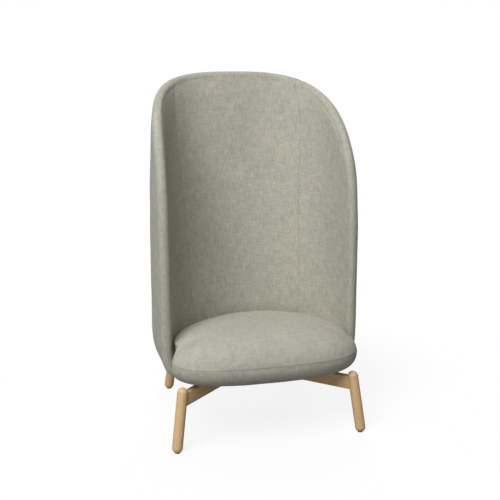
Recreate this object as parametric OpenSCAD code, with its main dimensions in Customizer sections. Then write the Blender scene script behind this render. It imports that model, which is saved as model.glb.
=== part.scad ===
// High-backed lounge chair: an upholstered shell that wraps round the sitter, a crowned seat,
// and a crossed oak base on four round, splayed legs. Millimetres, +Z up, the front faces -Y.
// The origin is on the floor, under the middle of the whole chair.

/* [Overall] */
// Height from the floor to the top of the rim
overall_h = 1335; // [1260:5:1400]
// Width across the outside of the shell
overall_w = 778; // [760:2:820]
// Depth from the front of the seat to the back of the shell
overall_d = 703; // [690:1:730]

/* [Shell] */
// Thickness of the wall at its rounded rim
rim_t = 45; // [34:1:52]
// Thickness of the wall in the middle of the back
back_t = 92; // [80:1:100]
// Clear width between the two wings
mouth_w = 672; // [650:2:680]
// How much narrower the mouth is at the top, as a share of its width
mouth_taper_share = 0.01; // [0:0.005:0.04]
// Depth of the tub from the wings' front edges to the back, at the height of the bowl
tub_d = 272; // [255:1:285]
// Lean of the back from upright, in degrees
recline = 11.4; // [9:0.1:12]
// Height of the round underside, from the seat board up to the straight wall
bowl_h = 170; // [150:5:190]
// How far the flat underside of the body runs out past the seat board
foot_overhang = 25; // [15:1:32]
// Height above which the front edges of the wings start to lean back
lean_start_h = 355; // [300:5:400]
// Power of the curve along which the front edges sweep up and back
sweep_power = 5.8; // [5:0.1:6.4]

/* [Seat] */
// Height of the crown of the seat cushion
seat_h = 412; // [398:1:424]
// Height of the seam that runs round the front of the seat
seam_h = 310; // [296:1:322]
// Height of the cushion's edge where it tucks in against the back
tuck_h = 357; // [345:1:368]
// Width of the cushion ahead of the wings
seat_w = 732; // [716:2:744]
// How far the cushion runs out ahead of the wings' front edges
seat_nose_d = 204; // [190:1:215]
// Thickness of the plywood seat board
board_t = 12; // [9:1:18]
// Width of the seat board
board_w = 490; // [470:2:510]
// Length of the seat board ahead of the wings' front edges
board_front_d = 85; // [75:1:100]
// Length of the seat board behind the wings' front edges
board_back_d = 296; // [280:2:310]

/* [Upholstery] */
// Thickness of the woven covers
cover_t = 1.4; // [0.8:0.1:2]
// Air left between a cover and its foam
cover_gap = 0.3; // [0.2:0.05:0.5]
// Depth of the crease that a seam pulls into the foam
seam_dip = 2; // [0.5:0.1:3]
// Place of the seam between back and wing panel, as a share of the way to the front edge
panel_seam_share = 0.5; // [0.44:0.06:0.56]

/* [Frame] */
// Outside diameter of the steel tube in the foam
tube_d = 16; // [12:1:18]
// Side of the square steel feet under the tube ends
foot_plate_w = 34; // [30:1:38]
// Thickness of the steel feet, let into the seat board
foot_plate_t = 4; // [3:0.5:5]
// Diameter of the screws that hold the steel feet
plate_screw_d = 4; // [3.5:0.5:4.5]

/* [Base] */
// Height of the top of the crossed rails
rail_top_h = 217; // [205:1:225]
// Depth of the rails, top to bottom
rail_h = 49; // [42:1:56]
// Thickness of the rails
rail_t = 24; // [20:1:30]
// Diameter of the round legs
leg_d = 39; // [34:1:44]
// How far the domed top of a leg stands above the rails
leg_rise = 22; // [10:1:28]
// Distance between the front feet
front_feet_w = 704; // [660:4:740]
// Distance between the rear feet
rear_feet_w = 584; // [540:4:620]
// Distance from the front feet to the crossing of the rails
front_feet_d = 324; // [300:2:340]
// Lean of the legs from upright, in degrees
leg_lean = 10.2; // [6:0.2:12]
// Diameter of the beech dowels
dowel_d = 10; // [8:1:12]
// Length of the beech dowels
dowel_l = 46; // [40:1:50]
// Diameter of the glides under the legs
glide_d = 20; // [16:1:20]
// Thickness of the glides
glide_t = 3; // [2.5:0.5:4]

/* [Fixings] */
// Thread diameter of the base bolts
bolt_d = 8; // [6:1:8]
// Distance from the crossing to each base bolt
bolt_reach = 120; // [105:1:130]

/* [Hidden] */

// Colours
fabric_colour = [0.70, 0.69, 0.62];
foam_colour = [0.93, 0.87, 0.66];
oak_colour = [0.83, 0.68, 0.49];
beech_colour = [0.88, 0.74, 0.56];
ply_colour = [0.78, 0.63, 0.43];
steel_colour = [0.62, 0.63, 0.65];
dust_colour = [0.12, 0.12, 0.13];
glide_colour = [0.20, 0.20, 0.21];

// Clearances and overruns
seat_clear = 1.2;
lap_clear = 0.1;
bore_clear = 0.1;
overrun = 1;
round_fn = 48;

// Levels, from the rails up
dust_t = 1;
board_z = rail_top_h + dust_t;
body_z = board_z + board_t + cover_gap;
bowl_z = body_z + bowl_h;
rim_r = rim_t / 2;
edge_top_z = overall_h - rim_r;

// Plan of the tub, seen from above
side_spare = 4;
back_spare = 9;
outer_sweep_d = 70;
outer_centre_d = 108;
foot_in_share = 0.55;
foot_out_bearing = 97;
plan_power = 2;
plan_power_rise = 1.3;
rise_power = 2.2;
width_power = 3;
outer_power_low = 2.3;
board_power = 2.5;
seat_power = 3.1;
sweep_round = 0.9;
outer_high_share = 0.8;
back_bow_power = 1.6;
back_lean_power = 2;
side_fade_power = 12;
top_fade_power = 4;
small_step = 0.01;
tub_y = seat_nose_d - seam_dip - overall_d / 2;
outer_y = tub_y + outer_centre_d;
edge_front_y = tub_y;

// Rows and columns of the shell's surfaces
columns = 28;
bowl_rows = 4;
wall_rows = 9;
rows = bowl_rows + wall_rows;
nose_steps = 4;
edge_count = 2 * rows + columns;
left_seam = round(columns * (1 - panel_seam_share) / 2);
right_seam = columns - left_seam;
corner_share = 0.82;

// Rows and columns of the seat's surface
seat_columns = 48;
flank_rows = bowl_rows;
crown_rows = 5;
seat_rows = flank_rows + crown_rows;
crown_power = 2.4;
front_from_bearing = 94;
front_to_bearing = 105;
front_lag_power = 2.6;
front_lag_fade = 2;

// Steel frame: bearings of its feet, shape of the hoop and places of the cross tubes
plate_r = 226;
plate_screw_reach = 12;
hoop_foot_bearing = 80;
stay_foot_bearing = 25;
plate_bearings = [-hoop_foot_bearing, -stay_foot_bearing, stay_foot_bearing, hoop_foot_bearing];
tube_foot_set = 4;
tube_foot_r = plate_r - foot_plate_w / 2 + tube_foot_set;
tube_foot_l = 38;
hoop_power = 6;
hoop_u_share = 0.86;
hoop_w_share = 0.93;
hoop_start_angle = 8.6;
hoop_steps = 22;
cross_steps = 12;
low_cross_share = 0.34;
high_cross_share = 0.62;
stay_u_share = 0.22;
stay_low_share = 0.14;
stay_steps = 4;
tube_sides = 8;
screw_l = 10;
screw_head_h = 2.2;
screw_head_r = 4;

// Base, bolts and T-nuts
crossing_back_d = 168;
dowel_in_leg = 20;
dowel_space = 24;
glide_stud_d = 5;
glide_stud_l = 14;
bolt_end_gap = 2;
bolt_under_l = 40;
bolt_head_d = 13;
bolt_head_h = 8;
socket_w = 6;
socket_h = 4;
counterbore_d = 17;
bolt_hole_d = 9;
washer_d = 16;
washer_t = 1.6;
nut_flange_d = 20;
nut_flange_t = 1.2;
nut_barrel_d = 10;
nut_barrel_l = 10;
dust_inset = 8;
board_points = 72;

// Small functions
function unit(v) = v / norm(v);
function mix(a, b, t) = a + (b - a) * t;
function within(t) = min(1, max(0, t));
function ease(t) = let(c = within(t)) c * c * (3 - 2 * c);

// Distance from the middle of a rounded plan to its edge, on a bearing from straight back
function plan_r(bearing, half_w, back_d, front_d, power) =
    let(across = abs(sin(bearing)) / half_w,
        along = abs(cos(bearing)) / (cos(bearing) >= 0 ? back_d : front_d))
    pow(pow(across, power) + pow(along, power), -1 / power);

// Bearing at which such a plan comes as far forward as the distance given
function plan_bearing(forward_y, half_w, back_d, front_d, power) =
    let(reach = min(1, abs(forward_y) / (forward_y >= 0 ? back_d : front_d)),
        across = half_w * pow(max(0, 1 - pow(reach, power)), 1 / power))
    atan2(across, forward_y);

// The tub's inner face, level by level
function rise_share(z) = within((z - bowl_z) / (edge_top_z - bowl_z));
function tub_half_w(z) = mouth_w / 2 * (1 - mouth_taper_share * rise_share(z));
function tub_back_d(z) = tub_d + (max(z, bowl_z) - bowl_z) * tan(recline);
function tub_power(z) = plan_power + plan_power_rise * pow(rise_share(z), rise_power);
function tub_r(bearing, z) =
    plan_r(bearing, tub_half_w(z), tub_back_d(z), tub_back_d(z), tub_power(z));

// The front edge seen from the side: upright at first, then swept up and back to the top
edge_back_y = tub_y + tub_back_d(edge_top_z);
function edge_y(z) =
    let(climb = within((z - lean_start_h) / (edge_top_z - lean_start_h)))
    edge_back_y
    - (edge_back_y - edge_front_y) * pow(1 - pow(climb, sweep_power), 1 / sweep_round);
function edge_bearing(z) =
    plan_bearing(edge_y(z) - tub_y, tub_half_w(z), tub_back_d(z), tub_back_d(z), tub_power(z));

// Height at which the rim crosses a bearing, found by halving
corner_z = mix(bowl_z, edge_top_z, corner_share);
corner_bearing = edge_bearing(corner_z);
function rim_z(bearing, low = corner_z, high = edge_top_z, turns = 20) =
    let(middle = (low + high) / 2)
    turns == 0 ? middle
    : edge_bearing(middle) > bearing ? rim_z(bearing, middle, high, turns - 1)
    : rim_z(bearing, low, middle, turns - 1);

// Height of a place in the wall: u runs from wing to wing, w from the foot to the rim
bowl_w = bowl_rows / rows;
column_top = [for (i = [0:columns]) rim_z(abs(2 * i / columns - 1) * corner_bearing)];
function top_z(u) =
    let(place = (u + 1) / 2 * columns, i = min(columns - 1, floor(place)))
    mix(column_top[i], column_top[i + 1], place - i);
function wall_z(u, w) =
    w <= bowl_w ? body_z + bowl_h * (1 - cos(90 * w / bowl_w))
    : bowl_z + (top_z(u) - bowl_z) * (w - bowl_w) / (1 - bowl_w);

// A point on the inner face
function foot_share(z) =
    foot_in_share + (1 - foot_in_share) * sin(90 * within((z - body_z) / bowl_h));
function inner_point(u, w) =
    let(z = wall_z(u, w),
        bearing = u * edge_bearing(max(wall_z(1, w), bowl_z)),
        r = tub_r(bearing, z) * foot_share(z))
    [r * sin(bearing), tub_y + r * cos(bearing), z];

// The same face pushed out level by the thickness of the rim
function level_normal(u, w) =
    let(run = inner_point(min(1, u + small_step), w) - inner_point(max(-1, u - small_step), w))
    unit([-run.y, run.x, 0]);

// A point on the outer face: its own plan, which closes to the rim's thickness at the edge
function outer_back_y(z) =
    let(turn_z = mix(bowl_z, edge_top_z, outer_high_share),
        low_y = tub_y + tub_d + back_t,
        high_y = overall_d / 2 + back_spare,
        over_y = high_y - (edge_back_y + rim_t))
    z < turn_z
    ? high_y - (high_y - low_y) * pow((turn_z - z) / (turn_z - bowl_z), back_bow_power)
    : high_y - over_y * pow((z - turn_z) / (edge_top_z - turn_z), back_lean_power);
plan_half_w = overall_w / 2 + side_spare;
function outer_half_w(z) =
    plan_half_w - (plan_half_w - tub_half_w(z) - rim_t) * pow(rise_share(z), width_power);
function outer_power(z) = outer_power_low + (tub_power(z) - outer_power_low) * rise_share(z);
function outer_plan(u, w) =
    let(z = wall_z(u, w),
        edge_z = max(wall_z(1, w), bowl_z),
        half_w = outer_half_w(z),
        back_d = outer_back_y(z) - outer_y,
        front_d = plan_half_w + outer_sweep_d,
        power = outer_power(z),
        bearing = u * plan_bearing(edge_y(edge_z) - outer_y, half_w, back_d, front_d, power),
        r = plan_r(bearing, half_w, back_d, front_d, power))
    [r * sin(bearing), outer_y + r * cos(bearing), z];
function rim_fade(u, w) =
    1 - (1 - pow(abs(u), side_fade_power))
        * (1 - pow(within((w - bowl_w) / (1 - bowl_w)), top_fade_power));
function wall_point(u, w) =
    mix(outer_plan(u, w), inner_point(u, w) + rim_t * level_normal(u, w), rim_fade(u, w));
function board_r(bearing) =
    plan_r(bearing, board_w / 2, board_back_d, board_front_d, board_power);
function outer_point(u, w) =
    w > bowl_w ? wall_point(u, w)
    : let(bearing = u * foot_out_bearing,
          foot_r = board_r(bearing) + foot_overhang,
          foot = [foot_r * sin(bearing), tub_y + foot_r * cos(bearing), body_z],
          rim = wall_point(u, bowl_w),
          turn = 90 * w / bowl_w)
      [mix(foot.x, rim.x, sin(turn)), mix(foot.y, rim.y, sin(turn)), wall_z(u, w)];

// Grids of both faces, with the crease of the two panel seams in the inner one
function column_u(i) = 2 * i / columns - 1;
inner_grid = [for (i = [0:columns]) [for (j = [0:rows]) inner_point(column_u(i), j / rows)]];
outer_grid = [for (i = [0:columns]) [for (j = [0:rows]) outer_point(column_u(i), j / rows)]];

function grid_normal(grid, i, j) =
    let(across = grid[min(columns, i + 1)][j] - grid[max(0, i - 1)][j],
        up = grid[i][min(rows, j + 1)] - grid[i][max(0, j - 1)])
    unit(cross(up, across));
function on_edge(i, j) = i == 0 || i == columns || j == rows;
function through(i, j) = unit(outer_grid[i][j] - inner_grid[i][j]);
function level(v) = unit([v.x, v.y, 0]);
inner_normals = [for (i = [0:columns]) [for (j = [0:rows])
    on_edge(i, j) ? through(i, j)
    : j == 0 ? level(grid_normal(inner_grid, i, j))
    : grid_normal(inner_grid, i, j)]];
outer_normals = [for (i = [0:columns]) [for (j = [0:rows])
    on_edge(i, j) ? through(i, j) : grid_normal(outer_grid, i, j)]];
function crease(i, j) = (i == left_seam || i == right_seam) && j < rows ? seam_dip : 0;

// A face moved into the wall by a depth
function inner_face(i, j, depth) =
    inner_grid[i][j] + inner_normals[i][j] * (depth + crease(i, j));
function outer_face(i, j, depth) = outer_grid[i][j] - outer_normals[i][j] * depth;

// The rim: places along the edge of the grids, and the half round between the two faces
function edge_place(k) =
    k <= rows ? [0, k]
    : k <= rows + columns ? [k - rows, rows]
    : [columns, edge_count - k];
function edge_middle(k) =
    let(p = edge_place(k)) (inner_grid[p.x][p.y] + outer_grid[p.x][p.y]) / 2;
function nose_point(k, m, depth) =
    let(p = edge_place(k),
        across = outer_grid[p.x][p.y] - inner_grid[p.x][p.y],
        step = edge_middle(min(edge_count, k + 1)) - edge_middle(max(0, k - 1)),
        run = p.y <= bowl_rows ? [0, 0, step.z] : step,
        ahead = unit(cross(run, across)),
        turn = 180 * m / nose_steps,
        r = norm(across) / 2 - depth)
    edge_middle(k) - unit(across) * r * cos(turn) + ahead * min(r, rim_r - depth) * sin(turn);

// Triangles of a grid of points stored column by column
function grid_faces(first, wide, high) = [
    for (i = [0:wide - 1], j = [0:high - 1])
    let(a = first + i * (high + 1) + j, b = a + high + 1)
    each [[a, a + 1, b + 1], [a, b + 1, b]]
];
// Triangles of a strip between two rows of points
function strip_faces(lower, upper) = [
    for (n = [0:len(lower) - 2])
    each [[lower[n], upper[n], upper[n + 1]], [lower[n], upper[n + 1], lower[n + 1]]]
];
function flipped(faces) = [for (f = faces) [f[0], f[2], f[1]]];
function loop_faces(loop, other) = [
    for (n = [0:len(loop) - 1])
    let(m = (n + 1) % len(loop))
    each [[loop[n], loop[m], other[m]], [loop[n], other[m], other[n]]]
];

// Foam of the shell: both faces, the round rim and the flat foot
module shell_foam_solid() {
    depth = cover_t + cover_gap;
    face_size = (columns + 1) * (rows + 1);
    inner = [for (i = [0:columns], j = [0:rows]) inner_face(i, j, depth)];
    outer = [for (i = [0:columns], j = [0:rows]) outer_face(i, j, depth)];
    nose = [for (k = [0:edge_count], m = [1:nose_steps - 1]) nose_point(k, m, depth)];
    function inner_at(i, j) = i * (rows + 1) + j;
    function outer_at(i, j) = face_size + inner_at(i, j);
    function rim_at(k, m) =
        let(p = edge_place(k))
        m == 0 ? inner_at(p.x, p.y)
        : m == nose_steps ? outer_at(p.x, p.y)
        : 2 * face_size + k * (nose_steps - 1) + m - 1;
    inner_foot = [for (i = [0:columns]) inner_at(i, 0)];
    outer_foot = [for (i = [0:columns]) outer_at(i, 0)];
    polyhedron(
        points = concat(inner, outer, nose),
        faces = concat(
            grid_faces(0, columns, rows),
            flipped(grid_faces(face_size, columns, rows)),
            [for (m = [0:nose_steps - 1])
                each strip_faces([for (k = [0:edge_count]) rim_at(k, m)],
                                 [for (k = [0:edge_count]) rim_at(k, m + 1)])],
            strip_faces(outer_foot, inner_foot),
            [for (m = [1:nose_steps - 1])
                each [[rim_at(0, 0), rim_at(0, m + 1), rim_at(0, m)],
                      [rim_at(edge_count, 0), rim_at(edge_count, m), rim_at(edge_count, m + 1)]]]
        )
    );
}

// A cover: part of one face, from one column to another, with its half of the rim.
// Both skins share one set of triangles and are joined by walls all round.
module face_cover(inside, first, last) {
    k_first = first == 0 ? 0 : rows + first;
    k_last = last == columns ? edge_count : rows + last;
    high = rows + 1;
    wide = last - first;
    half = nose_steps / 2;
    face_size = (wide + 1) * high;
    rim_size = (k_last - k_first + 1) * half;
    skin_size = face_size + rim_size;
    function skin(depth) = concat(
        [for (i = [first:last], j = [0:rows])
            inside ? inner_face(i, j, depth) : outer_face(i, j, depth)],
        [for (k = [k_first:k_last], m = [1:half])
            nose_point(k, inside ? m : nose_steps - m, depth)]
    );
    function face_at(i, j) = (i - first) * high + j;
    function rim_at(k, m) =
        let(p = edge_place(k))
        m == 0 ? face_at(p.x, p.y) : face_size + (k - k_first) * half + m - 1;
    function rim_row(m) = [for (k = [k_first:k_last]) rim_at(k, m)];
    function side_row(i, k) = concat(
        i == 0 || i == columns ? [face_at(i, 0)] : [for (j = [0:rows]) face_at(i, j)],
        [for (m = [1:half]) rim_at(k, m)]
    );
    function behind(row) = [for (n = row) n + skin_size];
    lay = concat(
        grid_faces(0, wide, rows),
        [for (m = [0:half - 1])
            each inside ? strip_faces(rim_row(m), rim_row(m + 1))
                        : flipped(strip_faces(rim_row(m + 1), rim_row(m)))]
    );
    foot_row = [for (i = [first:last]) face_at(i, 0)];
    last_row = side_row(last, k_last);
    first_row = side_row(first, k_first);
    shown = concat(
        lay,
        flipped([for (f = lay) f + [skin_size, skin_size, skin_size]]),
        flipped(strip_faces(foot_row, behind(foot_row))),
        flipped(strip_faces(last_row, behind(last_row))),
        strip_faces(first_row, behind(first_row)),
        strip_faces(rim_row(half), behind(rim_row(half)))
    );
    polyhedron(points = concat(skin(0), skin(cover_t)), faces = inside ? shown : flipped(shown));
}

// Outline and surfaces of the seat, on bearings all round the middle of the tub
function seat_bearing(i) = 360 * i / seat_columns - 180;
function front_share(bearing, k) =
    pow(ease((abs(bearing) - front_from_bearing) / (front_to_bearing - front_from_bearing)),
        mix(front_lag_power, 1, pow(min(k, flank_rows) / flank_rows, front_lag_fade)));
function flank_z(n) = body_z + bowl_h * (1 - cos(90 * n / bowl_rows));
function flank_r(bearing, n) = tub_r(bearing, flank_z(n)) * foot_share(flank_z(n));
function rear_flank(bearing, k) =
    let(slope = 90 * k / bowl_rows, top_n = bowl_rows - 1,
        part = (tuck_h - flank_z(top_n)) / (flank_z(bowl_rows) - flank_z(top_n)),
        r = k <= top_n ? flank_r(bearing, k)
            : mix(flank_r(bearing, top_n), flank_r(bearing, bowl_rows), part),
        z = k <= top_n ? flank_z(k) : tuck_h)
    k == 0 ? [r - seat_clear, body_z]
    : [r - seat_clear * sin(slope), z + (k <= top_n ? seat_clear * cos(slope) : 0)];
function front_flank(bearing, k) =
    let(turn = 90 * k / flank_rows,
        foot_r = board_r(bearing) + foot_overhang,
        nose_r = plan_r(bearing, seat_w / 2, seat_nose_d, seat_nose_d, seat_power))
    [mix(foot_r, nose_r, sin(turn)), mix(body_z, seam_h, 1 - cos(turn))];
function flank_place(bearing, k) =
    mix(rear_flank(bearing, k), front_flank(bearing, k), front_share(bearing, k))
    - (k == flank_rows ? [seam_dip, 0] : [0, 0]);
function seat_place(bearing, k) =
    k <= flank_rows ? flank_place(bearing, k)
    : let(edge = flank_place(bearing, flank_rows),
          q = cos(90 * (k - flank_rows) / crown_rows))
      [edge.x * q, edge.y + (seat_h - edge.y) * sqrt(1 - pow(q, crown_power))];
seat_grid = [for (i = [0:seat_columns - 1]) [for (k = [0:seat_rows])
    let(bearing = seat_bearing(i), p = seat_place(bearing, k))
    [p.x * sin(bearing), tub_y + p.x * cos(bearing), p.y]]];
function seat_normal(i, k) =
    let(before = (i + seat_columns - 1) % seat_columns, after = (i + 1) % seat_columns,
        run = seat_grid[after][k] - seat_grid[before][k],
        up = seat_grid[i][min(seat_rows, k + 1)] - seat_grid[i][max(0, k - 1)],
        turned = k == seat_rows ? [0, 0, 1] : unit(cross(up, run)))
    k == 0 ? level(turned) : turned;
seat_normals = [for (i = [0:seat_columns - 1]) [for (k = [0:seat_rows]) seat_normal(i, k)]];
function seat_point(i, k, depth) = seat_grid[i][k] - seat_normals[i][k] * depth;

// Rings of the seat from one row to another; the last row is a single point when it is the top
function seat_skin(first, last, depth) = concat(
    [for (k = [first:min(last, seat_rows - 1)], i = [0:seat_columns - 1]) seat_point(i, k, depth)],
    last == seat_rows ? [seat_point(0, seat_rows, depth)] : []
);
function ring_faces(start, rings) = [
    for (k = [0:rings - 2], i = [0:seat_columns - 1])
    let(a = start + k * seat_columns + i,
        b = start + k * seat_columns + (i + 1) % seat_columns)
    each [[a, b, b + seat_columns], [a, b + seat_columns, a + seat_columns]]
];
function fan_faces(start, pole) = [
    for (i = [0:seat_columns - 1]) [start + i, start + (i + 1) % seat_columns, pole]
];
module seat_shell(first, last) {
    closed = last == seat_rows;
    rings = closed ? last - first : last - first + 1;
    size = rings * seat_columns + (closed ? 1 : 0);
    top = (rings - 1) * seat_columns;
    lay = concat(ring_faces(0, rings), closed ? fan_faces(top, size - 1) : []);
    lower = [for (i = [0:seat_columns - 1]) i];
    upper = [for (i = [0:seat_columns - 1]) top + i];
    polyhedron(
        points = concat(seat_skin(first, last, 0), seat_skin(first, last, cover_t)),
        faces = concat(
            lay,
            flipped([for (f = lay) f + [size, size, size]]),
            flipped(loop_faces(lower, [for (n = lower) n + size])),
            closed ? [] : loop_faces(upper, [for (n = upper) n + size])
        )
    );
}
module seat_foam_solid() {
    depth = cover_t + cover_gap;
    shown = seat_skin(0, seat_rows, depth);
    size = len(shown);
    polyhedron(
        points = concat(shown, [[0, tub_y, body_z]]),
        faces = concat(
            ring_faces(0, seat_rows),
            fan_faces((seat_rows - 1) * seat_columns, size - 1),
            flipped(fan_faces(0, size))
        )
    );
}

// Steel frame in the foam: tubes swept along the middle of the wall
function middle_point(u, w) = (inner_point(u, w) + outer_point(u, w)) / 2;
function foot_path(bearing, side) = [
    for (r = side > 0 ? [tube_foot_r + tube_foot_l, tube_foot_r]
                      : [tube_foot_r, tube_foot_r + tube_foot_l])
    [r * sin(bearing), tub_y + r * cos(bearing),
     board_z + board_t + tube_d / 2 * cos(180 / tube_sides)]
];
function hoop_point(turn) =
    let(r = pow(pow(abs(cos(turn)), hoop_power) + pow(sin(turn), hoop_power), -1 / hoop_power))
    middle_point(-hoop_u_share * r * cos(turn), hoop_w_share * r * sin(turn));
hoop_path = concat(
    foot_path(-hoop_foot_bearing, -1),
    [for (n = [0:hoop_steps])
        hoop_point(hoop_start_angle + (180 - 2 * hoop_start_angle) * n / hoop_steps)],
    foot_path(hoop_foot_bearing, 1)
);
function cross_path(w) =
    let(reach = hoop_u_share * pow(1 - pow(w / hoop_w_share, hoop_power), 1 / hoop_power))
    [for (n = [0:cross_steps]) middle_point(reach * (2 * n / cross_steps - 1), w)];
function stay_path(side) = concat(
    foot_path(side * stay_foot_bearing, -1),
    [for (n = [0:stay_steps])
        middle_point(side * stay_u_share, mix(stay_low_share, low_cross_share, n / stay_steps))]
);
module tube(path, aside) {
    last = len(path) - 1;
    rings = [for (n = [0:last])
        let(run = unit(path[min(last, n + 1)] - path[max(0, n - 1)]),
            one = unit(cross(run, aside)), two = cross(run, one))
        each [for (k = [0:tube_sides - 1])
            let(turn = 360 * (k + 0.5) / tube_sides)
            path[n] + (one * cos(turn) + two * sin(turn)) * tube_d / 2]];
    polyhedron(
        points = rings,
        faces = concat(
            [for (n = [0:last - 1], k = [0:tube_sides - 1])
                let(a = n * tube_sides + k, b = n * tube_sides + (k + 1) % tube_sides)
                each [[a, a + tube_sides, b + tube_sides], [a, b + tube_sides, b]]],
            [[for (k = [0:tube_sides - 1]) k]],
            [[for (k = [tube_sides - 1:-1:0]) last * tube_sides + k]]
        )
    );
}
module at_plates() {
    for (bearing = plate_bearings)
    translate([0, tub_y, board_z + board_t]) rotate([0, 0, -bearing])
    translate([0, plate_r, 0]) children();
}
module at_plate_screws() {
    at_plates() for (side = [-1, 1]) translate([side * plate_screw_reach, 0, 0]) children();
}
module plate_screw(clear) {
    r = plate_screw_d / 2 + clear;
    translate([0, 0, -screw_head_h])
    cylinder(h = screw_head_h, r1 = r, r2 = screw_head_r + clear, $fn = round_fn);
    translate([0, 0, -screw_l - clear]) cylinder(h = screw_l + clear, r = r, $fn = round_fn);
}

// Base: places of the feet and of the bolts, round the crossing of the rails
cross_y = tub_y + crossing_back_d;
front_reach = norm([front_feet_w / 2, front_feet_d]);
front_side_angle = atan2(front_feet_w / 2, front_feet_d);
rear_reach = rear_feet_w / 2 / sin(front_side_angle);
rail_low_h = rail_top_h - rail_h;
rail_mid_h = rail_top_h - rail_h / 2;
function leg_reach(front) = front ? front_reach : rear_reach;
function arm_angle(side, front) =
    front ? side * front_side_angle - 90 : 90 - side * front_side_angle;
module on_arm(side, front) {
    translate([0, cross_y, 0]) rotate([0, 0, arm_angle(side, front)]) children();
}
module leg_axis(front) {
    translate([leg_reach(front), 0, leg_d / 2]) rotate([0, -leg_lean, 0]) children();
}
leg_axis_l = (rail_top_h + leg_rise - leg_d) / cos(leg_lean);
function joint_reach(front) =
    leg_reach(front) - (rail_mid_h - leg_d / 2) * tan(leg_lean) - leg_d / 2;
module dowel_pair(front, clear) {
    for (up = [-1, 1])
    translate([joint_reach(front) + dowel_in_leg - dowel_l - clear, 0, rail_mid_h + up * dowel_space / 2])
    rotate([0, 90, 0]) cylinder(h = dowel_l + 2 * clear, r = dowel_d / 2 + clear, $fn = round_fn);
}
module glide_stud(clear) {
    cylinder(h = glide_t + glide_stud_l + clear, r = glide_stud_d / 2 + clear, $fn = round_fn);
}
module leg(side, front) {
    on_arm(side, front) difference() {
        leg_axis(front) {
            cylinder(h = leg_axis_l, r = leg_d / 2, $fn = round_fn);
            sphere(r = leg_d / 2, $fn = round_fn);
            translate([0, 0, leg_axis_l]) sphere(r = leg_d / 2, $fn = round_fn);
        }
        translate([leg_reach(front) - leg_d, -leg_d, -overrun])
        cube([2 * leg_d, 2 * leg_d, glide_t + overrun]);
        translate([leg_reach(front), 0, 0]) glide_stud(bore_clear);
        dowel_pair(front, bore_clear);
    }
}
module at_bolts() {
    for (side = [-1, 1], front = [true, false])
    on_arm(side, front) translate([bolt_reach, 0, 0]) children();
}
bolt_top_z = board_z + board_t - bolt_end_gap;
bolt_seat_z = bolt_top_z - bolt_under_l;

// Room that a leg takes out of the end of a rail
module cope(front) {
    leg_axis(front) {
        translate([0, 0, -leg_d]) cylinder(h = 2 * rail_top_h, r = leg_d / 2 + bore_clear, $fn = round_fn);
        translate([0, -leg_d, -leg_d]) cube([leg_reach(front), 2 * leg_d, 2 * rail_top_h]);
    }
}
module bar(side, wide, low_z, high_z) {
    on_arm(side, true) translate([-leg_reach(false), -wide / 2, low_z])
    cube([leg_reach(false) + leg_reach(true), wide, high_z - low_z]);
}
module rail(side) {
    lap_z = rail_mid_h + side * lap_clear / 2;
    difference() {
        bar(side, rail_t, rail_low_h, rail_top_h);
        bar(-side, rail_t + 2 * lap_clear, side < 0 ? lap_z : rail_low_h - overrun,
            side < 0 ? rail_top_h + overrun : lap_z);
        on_arm(side, true) cope(true);
        on_arm(side, true) dowel_pair(true, bore_clear);
        on_arm(-side, false) cope(false);
        on_arm(-side, false) dowel_pair(false, bore_clear);
        at_bolts() {
            cylinder(h = rail_top_h + overrun, r = bolt_hole_d / 2, $fn = round_fn);
            cylinder(h = bolt_seat_z, r = counterbore_d / 2, $fn = round_fn);
        }
    }
}

// Flat outline of the seat board, drawn in by a margin
module board_outline(inset) {
    polygon([for (n = [0:board_points - 1])
        let(bearing = 360 * n / board_points, r = board_r(bearing) - inset)
        [r * sin(bearing), tub_y + r * cos(bearing)]]);
}

module shell_foam() color(foam_colour) shell_foam_solid();
module outer_cover() color(fabric_colour) face_cover(false, 0, columns);
module inner_cover_back() color(fabric_colour) face_cover(true, left_seam, right_seam);
module inner_cover_left() color(fabric_colour) face_cover(true, 0, left_seam);
module inner_cover_right() color(fabric_colour) face_cover(true, right_seam, columns);

module frame_tubes() color(steel_colour) {
    tube(hoop_path, [0, 1, 0]);
    tube(cross_path(low_cross_share), [0, 0, 1]);
    tube(cross_path(high_cross_share), [0, 0, 1]);
    for (side = [-1, 1]) tube(stay_path(side), [1, 0, 0]);
}
module frame_feet() color(steel_colour) difference() {
    at_plates() translate([-foot_plate_w / 2, -foot_plate_w / 2, -foot_plate_t])
    cube([foot_plate_w, foot_plate_w, foot_plate_t]);
    at_plate_screws() plate_screw(bore_clear);
}
module foot_screws() color(steel_colour) at_plate_screws() plate_screw(0);

module seat_foam() color(foam_colour) seat_foam_solid();
module seat_cover_top() color(fabric_colour) seat_shell(flank_rows, seat_rows);
module seat_cover_band() color(fabric_colour) seat_shell(0, flank_rows);
module seat_board() color(ply_colour) difference() {
    translate([0, 0, board_z]) linear_extrude(board_t) board_outline(0);
    at_plates()
    translate([-foot_plate_w / 2 - bore_clear, -foot_plate_w / 2 - bore_clear, -foot_plate_t - bore_clear])
    cube([foot_plate_w + 2 * bore_clear, foot_plate_w + 2 * bore_clear, foot_plate_t + overrun]);
    at_plate_screws() plate_screw(bore_clear);
    at_bolts() translate([0, 0, board_z - overrun])
    cylinder(h = board_t + 2 * overrun, r = nut_barrel_d / 2 + bore_clear, $fn = round_fn);
    at_bolts() translate([0, 0, board_z + board_t - nut_flange_t - bore_clear])
    cylinder(h = nut_flange_t + overrun, r = nut_flange_d / 2 + bore_clear, $fn = round_fn);
}
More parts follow.
